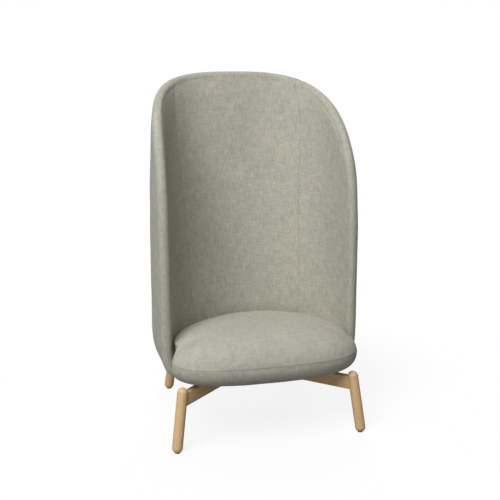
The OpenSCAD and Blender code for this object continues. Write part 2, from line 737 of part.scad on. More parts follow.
module t_nuts() color(steel_colour) at_bolts() translate([0, 0, board_z + board_t]) difference() {
    union() {
        translate([0, 0, -nut_flange_t]) cylinder(h = nut_flange_t, r = nut_flange_d / 2, $fn = round_fn);
        translate([0, 0, -nut_barrel_l]) cylinder(h = nut_barrel_l, r = nut_barrel_d / 2, $fn = round_fn);
    }
    translate([0, 0, -nut_barrel_l - overrun])
    cylinder(h = nut_barrel_l + 2 * overrun, r = bolt_d / 2 + bore_clear, $fn = round_fn);
}
module dust_cover() color(dust_colour) difference() {
    translate([0, 0, rail_top_h]) linear_extrude(dust_t) board_outline(dust_inset);
    at_bolts() translate([0, 0, rail_top_h - overrun])
    cylinder(h = dust_t + 2 * overrun, r = bolt_hole_d / 2, $fn = round_fn);
}

module rail_left_front() color(oak_colour) rail(-1);
module rail_right_front() color(oak_colour) rail(1);
module leg_front_left() color(oak_colour) leg(-1, true);
module leg_front_right() color(oak_colour) leg(1, true);
module leg_rear_left() color(oak_colour) leg(-1, false);
module leg_rear_right() color(oak_colour) leg(1, false);
module leg_dowels() color(beech_colour) {
    for (side = [-1, 1], front = [true, false]) on_arm(side, front) dowel_pair(front, 0);
}
module base_bolts() color(steel_colour) at_bolts() translate([0, 0, bolt_seat_z]) {
    cylinder(h = bolt_under_l, r = bolt_d / 2, $fn = round_fn);
    translate([0, 0, -washer_t - bolt_head_h]) difference() {
        cylinder(h = bolt_head_h, r = bolt_head_d / 2, $fn = round_fn);
        translate([0, 0, -overrun])
        cylinder(h = socket_h + overrun, r = socket_w / 2 / cos(30), $fn = 6);
    }
    translate([0, 0, -washer_t]) cylinder(h = washer_t, r = bolt_d / 2, $fn = round_fn);
}
module bolt_washers() color(steel_colour) at_bolts() difference() {
    translate([0, 0, bolt_seat_z - washer_t])
    cylinder(h = washer_t, r = washer_d / 2, $fn = round_fn);
    translate([0, 0, bolt_seat_z - washer_t - overrun])
    cylinder(h = washer_t + 2 * overrun, r = bolt_d / 2 + bore_clear, $fn = round_fn);
}

module glide(side, front) color(glide_colour) on_arm(side, front) translate([leg_reach(front), 0, 0]) {
    cylinder(h = glide_t, r = glide_d / 2, $fn = round_fn);
    glide_stud(0);
}
module glide_front_left() glide(-1, true);
module glide_front_right() glide(1, true);
module glide_rear_left() glide(-1, false);
module glide_rear_right() glide(1, false);

shell_foam();
outer_cover();
inner_cover_back();
inner_cover_left();
inner_cover_right();
frame_tubes();
frame_feet();
foot_screws();
seat_foam();
seat_cover_top();
seat_cover_band();
seat_board();
t_nuts();
dust_cover();
rail_left_front();
rail_right_front();
leg_front_left();
leg_front_right();
leg_rear_left();
leg_rear_right();
leg_dowels();
base_bolts();
bolt_washers();
glide_front_left();
glide_front_right();
glide_rear_left();
glide_rear_right();
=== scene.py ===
import math

import bmesh
import bpy
import numpy as np
from bpy.props import FloatProperty, FloatVectorProperty, IntProperty, PointerProperty
from mathutils import Matrix, Vector
from mathutils.geometry import delaunay_2d_cdt
from mathutils.kdtree import KDTree


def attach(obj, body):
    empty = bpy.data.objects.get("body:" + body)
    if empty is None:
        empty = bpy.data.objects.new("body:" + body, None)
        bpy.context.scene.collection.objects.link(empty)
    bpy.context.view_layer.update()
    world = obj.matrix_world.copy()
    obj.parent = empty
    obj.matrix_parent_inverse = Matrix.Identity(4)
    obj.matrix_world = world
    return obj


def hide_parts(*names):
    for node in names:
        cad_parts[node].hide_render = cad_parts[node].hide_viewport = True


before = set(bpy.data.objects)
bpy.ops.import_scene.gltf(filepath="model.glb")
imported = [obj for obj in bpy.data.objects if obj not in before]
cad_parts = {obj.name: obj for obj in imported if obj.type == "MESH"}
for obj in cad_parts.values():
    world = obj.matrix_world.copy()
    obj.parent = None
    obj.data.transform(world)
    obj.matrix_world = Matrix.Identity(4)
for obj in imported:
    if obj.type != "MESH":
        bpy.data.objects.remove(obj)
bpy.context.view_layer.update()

bl_info = {
    "name": "High-back lounge chair",
    "version": (1, 0, 0),
    "blender": (4, 5, 0),
    "location": "View3D > Sidebar > Lounge Chair",
    "description": "Covers, cushions, woodwork and studio of a high-back lounge chair",
    "category": "Object",
}

MM = 0.001
BODY = "root"
WEAVE_MAP = "weave"

# Sizes in millimetres and angles in degrees, the same as in the CAD frame
OVERALL_H, OVERALL_W, OVERALL_D = 1335.0, 778.0, 703.0
RIM_T, BACK_T = 45.0, 92.0
MOUTH_W, MOUTH_TAPER = 672.0, 0.01
TUB_D, RECLINE = 272.0, 11.4
BOWL_H, FOOT_OVERHANG = 170.0, 25.0
LEAN_START_H = 355.0
SEAT_H, SEAM_H, TUCK_H = 412.0, 310.0, 357.0
SEAT_W, SEAT_NOSE_D = 732.0, 204.0
DUST_T, BOARD_T, BOARD_W, BOARD_FRONT_D, BOARD_BACK_D = 1.0, 12.0, 490.0, 85.0, 296.0
RAIL_TOP_H, RAIL_H, RAIL_T = 217.0, 49.0, 24.0
LEG_D, LEG_LEAN = 39.0, 10.2
FRONT_FEET_W, FRONT_FEET_D, REAR_FEET_W = 704.0, 324.0, 584.0
CROSSING_BACK_D = 168.0
BOLT_REACH, BOLT_HOLE_R = 120.0, 4.5
DUST_INSET = 8.0
COVER_GAP, SEAT_CLEAR, SEAM_DIP = 0.3, 1.2, 2.0
SIDE_SPARE, BACK_SPARE, OUTER_CENTRE_D, OUTER_SWEEP_D = 4.0, 9.0, 108.0, 70.0
FRONT_FROM, FRONT_TO, FOOT_OUT_BEARING = 94.0, 105.0, 97.0

# Powers and shares that shape the plans, the same as in the CAD frame
PLAN_POWER, PLAN_POWER_RISE = 2.0, 1.3
RISE_POWER, WIDTH_POWER, BACK_LEAN_POWER = 2.2, 3, 2
OUTER_POWER_LOW, BOARD_POWER, SEAT_POWER = 2.3, 2.5, 3.1
SWEEP_POWER, SWEEP_ROUND, BACK_BOW_POWER = 5.8, 0.9, 1.6
SIDE_FADE_POWER, TOP_FADE_POWER = 12, 4
FRONT_LAG_POWER, FRONT_LAG_FADE = 2.6, 2
FOOT_IN_SHARE, OUTER_HIGH_SHARE, CORNER_SHARE, PANEL_SEAM = 0.55, 0.8, 0.82, 0.5
CAD_BOWL_ROWS, CAD_ROWS = 4, 13

# Levels, middles and limits that follow from them
BOARD_Z = RAIL_TOP_H + DUST_T
BODY_Z = BOARD_Z + BOARD_T + COVER_GAP
BOWL_Z = BODY_Z + BOWL_H
RIM_R = RIM_T / 2
EDGE_TOP_Z = OVERALL_H - RIM_R
TUB_Y = SEAT_NOSE_D - SEAM_DIP - OVERALL_D / 2
PLAN_HALF_W = OVERALL_W / 2 + SIDE_SPARE
HIGH_BACK_Y = OVERALL_D / 2 + BACK_SPARE
OUTER_Y = TUB_Y + OUTER_CENTRE_D
CROSS_Y = TUB_Y + CROSSING_BACK_D
BOWL_W = CAD_BOWL_ROWS / CAD_ROWS
LOW_TURN = 90 * (CAD_BOWL_ROWS - 1) / CAD_BOWL_ROWS

# Dust cloth: steps of its mesh, thickness, folded edge, slack between the staples, bolt holes
SHEET_STEP, SHEET_T, SHEET_GAP = 10.0, 0.5, 0.15
FOLD_W, FOLD_T, FOLD_FADE = 14.0, 0.5, 2.0
SLACK, SLACK_FADE, RAIL_CLEAR, RAIL_FADE = 0.9, 25.0, 2.0, 24.0
HOLE_SIDES, HOLE_INNER_SHARE = 16, 0.97

# Padding that falls back where the inside turns over into the rim: depth and reach
EDGE_EASE, EDGE_EASE_W = 4.5, 80.0

# Fullness that the padding adds to the shapes of the frame
BOWL_FULL, BOWL_INNER_FULL, BOWL_SWELL = 2.9, 2.2, 6.0
FRONT_FULL, FRONT_FULL_POWER = 1.4, 24
CROWN_POWER, CROWN_FULL, BELLY_FULL = 2.6, 2.2, 2.8
SEAM_DRAW, SEAM_DRAW_FROM, SEAM_DRAW_POWER = 0.066, 0.36, 1.3
SEAT_SAG_SHARE, CLEAR_TURN = 0.45, 12

# Cloth beside a seam: turns of its rows in the roll, their distances past it, and how far off
# the cloth is quite loose; a seam that isn't there counts as far away
SEAM_TURNS, SEAM_BEYOND = (0, 25, 50, 70, 90), (2.2, 5.5, 10.5)
WALL_LOOSE, FOOT_LOOSE_W = 30.0, 0.06
BAND_LOOSE, BAND_SWAY_LOOSE, CROWN_LOOSE = 12.0, 20.0, 14.0
FAR = 1000.0

# Bearing at which the shell starts to leave the cushion's side free, and over how much it does
FREE_FROM_BEARING, FREE_SPREAD = 96, 14

# Hems under the body: how far they reach in past the foot, and their rows
OUTER_HEM_W, BAND_HEM_W, BAND_HEM_REAR_W, HEM_ROWS = 6.0, 5.0, 1.0, 8

# Creases beside the wings: bearing and its spread, distance from the seam and its spread, depth
PUCKER_BEARING, PUCKER_SPREAD = 84, 17
PUCKER_GAP, PUCKER_REACH, PUCKER_DEPTH = 22, 20, 1.6

# Numbers of rows, columns and steps in grids and outlines; the top's rows lie closer by its seam
FOOT_ROWS, WALL_ROWS = 25, 96
WING_COLUMNS, BACK_COLUMNS, OUTER_COLUMNS = 48, 88, 197
BAND_ROWS, CROWN_ROWS, CROWN_ROW_POWER, CROWN_LAST_TURN = 25, 61, 1.15, 89.9
SEAT_COLUMNS, RIM_ROWS = 288, 9
OUTLINE_STEPS, STAPLE_LINE_STEPS = 180, 720

# Short steps over which a rate or a direction is measured, and how often a reckoning is repeated
PROBE_U, SMALL_STEP, PROBE_TURN = 0.004, 0.01, 0.5
HALVINGS, SMOOTHINGS = 26, 6

# Simulation of the cushion: its cells, how far it is held by the seam, beside the shell and at
# the foot, its cloth, and the places that a move is taken from
VOXEL, HELD_BY_SEAM, HELD_BEARING, HELD_FOOT = 6.0, 9.0, 98, 3.0
CLOTH_STEPS, CLOTH_TENSION, CLOTH_BENDING = 5, 18, 2
NEIGHBOURS, NEIGHBOUR_REACH = 8, 2.0

# Woodwork and fittings: angles in degrees, sizes in millimetres
WELD_GAP, FLAT_ANGLE, ARRIS_ANGLE, SHARP_ANGLE = 0.001, 0.5, 35, 32
GRAIN_ASIDE, PLY_T, GLIDE_ARRIS = 40.0, 1.33, 0.6

# Camera in metres and degrees, as fitted to the photograph
CAMERA_TARGET, CAMERA_DISTANCE = (0, 0.0185, 0.658), 3.15
CAMERA_LENS, CAMERA_SENSOR = 58.03, 36
CAMERA_AZIMUTH, CAMERA_ELEVATION = -14.2, 13.4

# Lamps in metres: name, setting that holds the power, place, size and where it aims
LAMPS = (
    ("key_light", "key", (-2.85, -3.2, 6.0), 5.0, CAMERA_TARGET),
    ("low_light", "low", (-1.9, -2.6, 0.5), 1.0, (0, -0.2, 0.2)),
    ("back_light", "back", (1.3, 2.9, 2.5), 2.4, CAMERA_TARGET),
)

# Floor: radii of its first and last ring in metres, its rings and the points of each
FLOOR_MIDDLE_R, FLOOR_R, FLOOR_ROWS, FLOOR_COLUMNS = 0.3, 14, 24, 96


# Settings

class ClothSettings(bpy.types.PropertyGroup):
    """Colours and weave of the upholstery cloth"""

    cool: FloatVectorProperty(
        name="Cool yarn", description="Colour of the greener yarns", subtype="COLOR",
        default=(0.405, 0.425, 0.345), min=0, max=1)
    warm: FloatVectorProperty(
        name="Warm yarn", description="Colour of the rosier yarns", subtype="COLOR",
        default=(0.475, 0.440, 0.372), min=0, max=1)
    pitch: FloatProperty(
        name="Thread pitch", description="Distance between two threads", subtype="DISTANCE",
        default=0.0017, min=0.0008, max=0.004)
    slub: FloatProperty(
        name="Slub width", description="Width of the thicker yarns that show as streaks",
        subtype="DISTANCE", default=0.0042, min=0.001, max=0.01)
    slub_run: FloatProperty(
        name="Slub length", description="Length of the streaks along the thread",
        subtype="DISTANCE", default=0.034, min=0.005, max=0.2)
    thickness: FloatProperty(
        name="Thickness", description="Thickness of the cloth", subtype="DISTANCE",
        default=0.0014, min=0.0008, max=0.002)


class SeamSettings(bpy.types.PropertyGroup):
    """Shape of the sewn seams"""

    radius: FloatProperty(
        name="Roll", description="Radius over which the cloth turns into a seam",
        subtype="DISTANCE", default=0.0020, min=0.001, max=0.004)
    rim_radius: FloatProperty(
        name="Roll at the rim", description="Radius over which the cloth turns into the rim's seam",
        subtype="DISTANCE", default=0.0009, min=0.0005, max=0.004)
    dip: FloatProperty(
        name="Dip", description="Depth of the soft hollow along a seam",
        subtype="DISTANCE", default=0.0016, min=0, max=0.004)
    reach: FloatProperty(
        name="Reach", description="Width of the soft hollow on each side",
        subtype="DISTANCE", default=0.011, min=0.004, max=0.03)


class CushionSettings(bpy.types.PropertyGroup):
    """How the seat cushion is filled"""

    pressure: FloatProperty(
        name="Pressure", description="Push of the filling against the covers",
        default=3.0, min=0, max=10)
    swell: FloatProperty(
        name="Swell", description="Most that the covers may move outwards",
        subtype="DISTANCE", default=0.005, min=0, max=0.014)
    frames: IntProperty(
        name="Frames", description="Steps for which the covers settle", default=20, min=5, max=40)


class WoodSettings(bpy.types.PropertyGroup):
    """Colours of the woods"""

    oak_light: FloatVectorProperty(
        name="Oak, early wood", description="Colour between the rings", subtype="COLOR",
        default=(0.78, 0.53, 0.275), min=0, max=1)
    oak_dark: FloatVectorProperty(
        name="Oak, late wood", description="Colour of the rings", subtype="COLOR",
        default=(0.60, 0.375, 0.172), min=0, max=1)
    arris: FloatProperty(
        name="Arris", description="Width of the eased edges", subtype="DISTANCE",
        default=0.0012, min=0.0003, max=0.003)


class StapleSettings(bpy.types.PropertyGroup):
    """Staples of the dust cloth"""

    spacing: FloatProperty(
        name="Spacing", description="Distance between two staples", subtype="DISTANCE",
        default=0.042, min=0.02, max=0.1)
    width: FloatProperty(
        name="Width", description="Width of a staple's crown", subtype="DISTANCE",
        default=0.0115, min=0.006, max=0.014)
    leg: FloatProperty(
        name="Leg", description="Length of a staple's legs", subtype="DISTANCE",
        default=0.006, min=0.003, max=0.010)
    wire: FloatProperty(
        name="Wire", description="Half the thickness of the wire", subtype="DISTANCE",
        default=0.0004, min=0.0002, max=0.0008)


class StageSettings(bpy.types.PropertyGroup):
    """Studio light and floor"""

    key: FloatProperty(
        name="Key light", description="Power of the large soft light", subtype="POWER",
        default=505, min=0, max=2000)
    low: FloatProperty(
        name="Low light", description="Power of the weak light near the floor", subtype="POWER",
        default=4.5, min=0, max=200)
    back: FloatProperty(
        name="Back light", description="Power of the soft light behind the chair", subtype="POWER",
        default=60, min=0, max=400)
    ambient: FloatProperty(
        name="Ambient", description="Strength of the even light of the room",
        default=0.15, min=0, max=2)
    floor: FloatVectorProperty(
        name="Floor", description="Colour of the floor", subtype="COLOR",
        default=(0.26, 0.26, 0.26), min=0, max=1)
    veil: FloatProperty(
        name="Veil", description="Share of plain white that the camera sees in the floor",
        default=0.85, min=0, max=1)


# Shapes of the chair

def sind(a):
    return np.sin(np.radians(a))


def cosd(a):
    return np.cos(np.radians(a))


def mix(a, b, t):
    return a + (b - a) * t


def within(t):
    return np.clip(t, 0.0, 1.0)


def ease(t):
    c = within(t)
    return c * c * (3 - 2 * c)


def full_share(share, power):
    """Rise of a rounded profile of a power, for a share of its run."""
    return (1 - (1 - within(share)) ** power) ** (1 / power)


def unit(v):
    return v / np.maximum(np.linalg.norm(v, axis=-1, keepdims=True), 1e-12)


def along_bearing(bearing, r, middle_y, z):
    """Points at a distance on bearings from straight back."""
    return np.stack(np.broadcast_arrays(r * sind(bearing), middle_y + r * cosd(bearing), z), -1)


def path_length(points, axis):
    """Distance of each point of a grid from the first one of its row or column."""
    step = np.linalg.norm(np.diff(points, axis=axis), axis=-1)
    return np.pad(np.cumsum(step, axis=axis), [(int(n == axis), 0) for n in range(step.ndim)])


def plan_r(bearing, half_w, back_d, front_d, power):
    """Distance from the middle of a rounded plan to its edge."""
    across = np.abs(sind(bearing)) / half_w
    along = np.abs(cosd(bearing)) / np.where(cosd(bearing) >= 0, back_d, front_d)
    return (across**power + along**power) ** (-1 / power)


def plan_bearing(forward_y, half_w, back_d, front_d, power):
    """Bearing at which such a plan comes as far forward as a distance."""
    reach = np.minimum(1, np.abs(forward_y) / np.where(forward_y >= 0, back_d, front_d))
    across = half_w * np.maximum(0, 1 - reach**power) ** (1 / power)
    return np.degrees(np.arctan2(across, forward_y))


def rise_share(z):
    return within((z - BOWL_Z) / (EDGE_TOP_Z - BOWL_Z))


def tub_half_w(z):
    return MOUTH_W / 2 * (1 - MOUTH_TAPER * rise_share(z))


def tub_back_d(z):
    return TUB_D + (np.maximum(z, BOWL_Z) - BOWL_Z) * math.tan(math.radians(RECLINE))


def tub_power(z):
    return PLAN_POWER + PLAN_POWER_RISE * rise_share(z) ** RISE_POWER


def tub_r(bearing, z):
    return plan_r(bearing, tub_half_w(z), tub_back_d(z), tub_back_d(z), tub_power(z))


EDGE_BACK_Y = TUB_Y + tub_back_d(EDGE_TOP_Z)


def edge_y(z):
    """How far forward the wings' front edges stand at a height."""
    climb = within((z - LEAN_START_H) / (EDGE_TOP_Z - LEAN_START_H))
    return EDGE_BACK_Y - (EDGE_BACK_Y - TUB_Y) * (1 - climb**SWEEP_POWER) ** (1 / SWEEP_ROUND)


def edge_bearing(z):
    return plan_bearing(edge_y(z) - TUB_Y, tub_half_w(z), tub_back_d(z), tub_back_d(z), tub_power(z))


CORNER_Z = mix(BOWL_Z, EDGE_TOP_Z, CORNER_SHARE)
CORNER_BEARING = float(edge_bearing(CORNER_Z))


def top_z(u):
    """Height at which the rim crosses a column, found by halving."""
    bearing = np.abs(u) * CORNER_BEARING
    low, high = np.full(np.shape(u), CORNER_Z), np.full(np.shape(u), EDGE_TOP_Z)
    for _ in range(HALVINGS):
        middle = (low + high) / 2
        above = edge_bearing(middle) > bearing
        low, high = np.where(above, middle, low), np.where(above, high, middle)
    return (low + high) / 2


def wall_z(u, w):
    """Height of a place in the wall: u runs from wing to wing, w from the foot to the rim."""
    return np.where(
        w <= BOWL_W,
        BODY_Z + BOWL_H * (1 - cosd(90 * np.minimum(w / BOWL_W, 1))),
        BOWL_Z + (top_z(u) - BOWL_Z) * (w - BOWL_W) / (1 - BOWL_W),
    )


def side_z(w):
    return np.maximum(wall_z(np.ones_like(w), w), BOWL_Z)


def foot_share(z, more=0):
    return mix(FOOT_IN_SHARE, 1, full_share((z - BODY_Z) / BOWL_H, BOWL_INNER_FULL + more))


def front_full(u):
    """How much fuller the bowl is at the wings' front edges."""
    return FRONT_FULL * np.abs(u) ** FRONT_FULL_POWER


def inner_point(u, w):
    """A point on the face that the sitter leans against."""
    z = wall_z(u, w)
    bearing = u * edge_bearing(side_z(w))
    return along_bearing(bearing, tub_r(bearing, z) * foot_share(z, front_full(u)), TUB_Y, z)


def outer_back_y(z):
    turn_z = mix(BOWL_Z, EDGE_TOP_Z, OUTER_HIGH_SHARE)
    low_y, high_y = TUB_Y + TUB_D + BACK_T, HIGH_BACK_Y
    over_y = high_y - (EDGE_BACK_Y + RIM_T)
    below = np.maximum(turn_z - z, 0) / (turn_z - BOWL_Z)
    above = np.maximum(z - turn_z, 0) / (EDGE_TOP_Z - turn_z)
    return high_y - (high_y - low_y) * below**BACK_BOW_POWER - over_y * above**BACK_LEAN_POWER


def wall_point(u, w):
    """A point on the outside of the wall, above the rounded bowl."""
    z = wall_z(u, w)
    rise = rise_share(z)
    half_w = PLAN_HALF_W - (PLAN_HALF_W - tub_half_w(z) - RIM_T) * rise**WIDTH_POWER
    half_w = half_w + BOWL_SWELL * (1 - rise) ** 3
    power = OUTER_POWER_LOW + (tub_power(z) - OUTER_POWER_LOW) * rise
    back_d, front_d = outer_back_y(z) - OUTER_Y, PLAN_HALF_W + OUTER_SWEEP_D
    bearing = u * plan_bearing(edge_y(side_z(w)) - OUTER_Y, half_w, back_d, front_d, power)
    plan = along_bearing(bearing, plan_r(bearing, half_w, back_d, front_d, power), OUTER_Y, z)
    run = (inner_point(np.minimum(1, u + SMALL_STEP), w)
           - inner_point(np.maximum(-1, u - SMALL_STEP), w))
    level = unit(np.stack([-run[..., 1], run[..., 0], 0 * z], -1))
    climb = within((w - BOWL_W) / (1 - BOWL_W))
    fade = 1 - (1 - np.abs(u) ** SIDE_FADE_POWER) * (1 - climb**TOP_FADE_POWER)
    return mix(plan, inner_point(u, w) + RIM_T * level, fade[..., None])


def board_r(bearing):
    return plan_r(bearing, BOARD_W / 2, BOARD_BACK_D, BOARD_FRONT_D, BOARD_POWER)


def outer_point(u, w):
    """A point on the outside of the shell."""
    bearing = u * FOOT_OUT_BEARING
    foot = along_bearing(bearing, board_r(bearing) + FOOT_OVERHANG, TUB_Y, BODY_Z)
    rim = wall_point(u, np.full_like(w, BOWL_W))
    share = full_share(1 - cosd(90 * np.minimum(w / BOWL_W, 1)), BOWL_FULL + front_full(u))
    bowl = mix(foot, rim, share[..., None])
    bowl[..., 2] = wall_z(u, w)
    return np.where((w > BOWL_W)[..., None], wall_point(u, w), bowl)


# Seams

def seam_steps(radius):
    """Distances from a seam, in millimetres, at which the cloth that rolls into it has rows."""
    r = radius / MM
    turned = [r * (1 - math.cos(math.radians(a))) for a in SEAM_TURNS]
    return np.array(turned + [r + gap for gap in SEAM_BEYOND])


def seam_roll(distance, radius):
    """How far cloth that rolls into a seam lies below its smooth face."""
    r = radius / MM
    return r - np.sqrt(np.maximum(0, r * r - np.maximum(0, r - distance) ** 2))


def seam_depth(distance, seam):
    """The same with the soft hollow along the seam."""
    hollow = seam.dip / MM * np.exp(-((distance * MM / seam.reach) ** 2))
    return seam_roll(distance, seam.radius) + hollow


def stretched(start, stop, steps, count, rate_start, rate_stop):
    """Places from one limit to another, with the rows of a seam at each end that has a rate."""
    first = start + steps / rate_start if rate_start is not None else np.array([start])
    last = stop - steps[::-1] / rate_stop if rate_stop is not None else np.array([stop])
    between = np.linspace(first[-1], last[0], count + 1)[1:-1]
    return np.concatenate([first, between, last])


# Meshes

def quads_of(columns, rows, closed=False):
    """Faces between the points of a grid that is stored column by column."""
    strips = columns if closed else columns - 1
    i, j = np.meshgrid(np.arange(strips), np.arange(rows - 1), indexing="ij")
    a = i * rows + j
    b = (i + 1) % columns * rows + j
    return np.stack([a, b, b + 1, a + 1], -1).reshape(-1, 4)


def fan(ring, tip):
    """Faces between a closed ring of points and a tip."""
    tips = np.full_like(ring, tip)
    return np.stack([ring, np.roll(ring, -1), tips, tips], -1)


def tree_of(points):
    """A search tree that finds the nearest of some points."""
    tree = KDTree(len(points))
    for n, p in enumerate(points):
        tree.insert(p, n)
    tree.balance()
    return tree


def point_normals(points, faces):
    """Mean normal of the faces round each point."""
    total = np.zeros_like(points)
    for n in range(faces.shape[1]):
        p, q, r = (points[faces[:, (n + k) % faces.shape[1]]] for k in (-1, 0, 1))
        np.add.at(total, faces[:, n], np.cross(r - q, p - q))
    return unit(total)


def volume(points, faces):
    a, b, c, d = (points[faces[:, n]] for n in range(4))
    return (np.cross(b - a, c - a) * a).sum() + (np.cross(c - a, d - a) * a).sum()


def closed_skin(points, normals, faces, uv, thickness):
    """A skin with its back and its edges, as points, faces and map places."""
    used, flat = np.unique(faces, return_inverse=True)
    faces = flat.reshape(faces.shape)
    points, normals, uv = points[used], normals[used], uv[used]
    count = len(points)
    start, end = faces.ravel(), np.roll(faces, -1, axis=1).ravel()
    key, back = start * count + end, end * count + start
    rim = ~np.isin(key, back) & (start != end)
    walls = np.stack([end[rim], start[rim], start[rim] + count, end[rim] + count], -1)
    everything = np.concatenate([faces, faces[:, ::-1] + count, walls])
    return (np.concatenate([points, points - normals * thickness]), everything,
            np.concatenate([uv, uv]))


def placed(name, data):
    """A new object in the scene."""
    piece = bpy.data.objects.new(name, data)
    bpy.context.scene.collection.objects.link(piece)
    return piece


def smooth(mesh):
    mesh.polygons.foreach_set("use_smooth", np.ones(len(mesh.polygons), bool))


def bake(piece):
    """Puts what a piece's modifiers make into its mesh."""
    evaluated = piece.evaluated_get(bpy.context.evaluated_depsgraph_get())
    piece.data = bpy.data.meshes.new_from_object(evaluated)
    piece.modifiers.clear()
    piece.data.name = piece.name
    if not piece.data.polygons:
        raise RuntimeError(f"{piece.name} has no faces")


def coat(node, material):
    """Puts a finish on a CAD node's own mesh."""
    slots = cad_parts[node].data.materials
    slots.clear()
    slots.append(material)


def mesh_object(name, points, faces, uv, material):
    """An object in the scene from points in millimetres."""
    mesh = bpy.data.meshes.new(name)
    mesh.from_pydata((points * MM).tolist(), [], [list(dict.fromkeys(f)) for f in faces.tolist()])
    if uv is not None:
        layer = mesh.uv_layers.new(name=WEAVE_MAP)
        loops = np.zeros(len(mesh.loops), np.int32)
        mesh.loops.foreach_get("vertex_index", loops)
        layer.data.foreach_set("uv", (uv[loops] * MM).astype(np.float32).ravel())
    smooth(mesh)
    mesh.materials.append(material)
    mesh.validate()
    mesh.update()
    return placed(name, mesh)


def finish_piece(piece, slot, *nodes):
    """Puts a piece in place of its CAD nodes."""
    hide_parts(*nodes)
    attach(piece, BODY)


def swayed(points):
    """Slow, slight unevenness that hand-laid padding has, in millimetres."""
    x, y, z = (points[..., n] / 1000 for n in range(3))
    return (0.55 * np.sin(21 * x + 9 * z + 1.3) * np.sin(17 * z - 8 * y)
            + 0.45 * np.sin(33 * z + 13 * x - 11 * y + 0.7)
            + 0.30 * np.sin(47 * x - 29 * z + 24 * y + 2.1))


# Shell

def wall_rows():
    """Rows from the foot to the rim."""
    return np.concatenate([np.linspace(0, BOWL_W, FOOT_ROWS)[:-1], np.linspace(BOWL_W, 1, WALL_ROWS)])


def column_rate(u, rows):
    """Millimetres of wall for each unit of u, row by row."""
    run = inner_point(u + PROBE_U, rows) - inner_point(u - PROBE_U, rows)
    return np.linalg.norm(run, axis=-1) / (2 * PROBE_U)


def seam_share(rows):
    """Place of the panel seams, which the sewer draws in towards the middle half-way up."""
    climb = within((rows - SEAM_DRAW_FROM) / (1 - SEAM_DRAW_FROM))
    return PANEL_SEAM - SEAM_DRAW * sind(180 * climb**SEAM_DRAW_POWER)


def panel_columns(rows, seam):
    """Columns of the inner face, drawn together at its two seams, and the seams' numbers."""
    steps = seam_steps(seam.radius)
    columns = []
    for share, rate in zip(seam_share(rows), column_rate(seam_share(rows), rows)):
        wing = stretched(-1, -share, steps, WING_COLUMNS, None, rate)
        back = stretched(-share, share, steps, BACK_COLUMNS, rate, rate)
        columns.append(np.concatenate([wing, back[1:-1], -wing[::-1]]))
    grid = np.array(columns).T
    first = len(wing) - 1
    return grid, first, len(grid) - 1 - first


def rim_turns(seam):
    """Turns round half of the rim, from the face to the seam in its middle."""
    near = 90 - np.degrees(seam_steps(seam.rim_radius) / RIM_R)
    return np.concatenate([np.linspace(0, near[-1], RIM_ROWS)[1:], near[::-1][1:]])


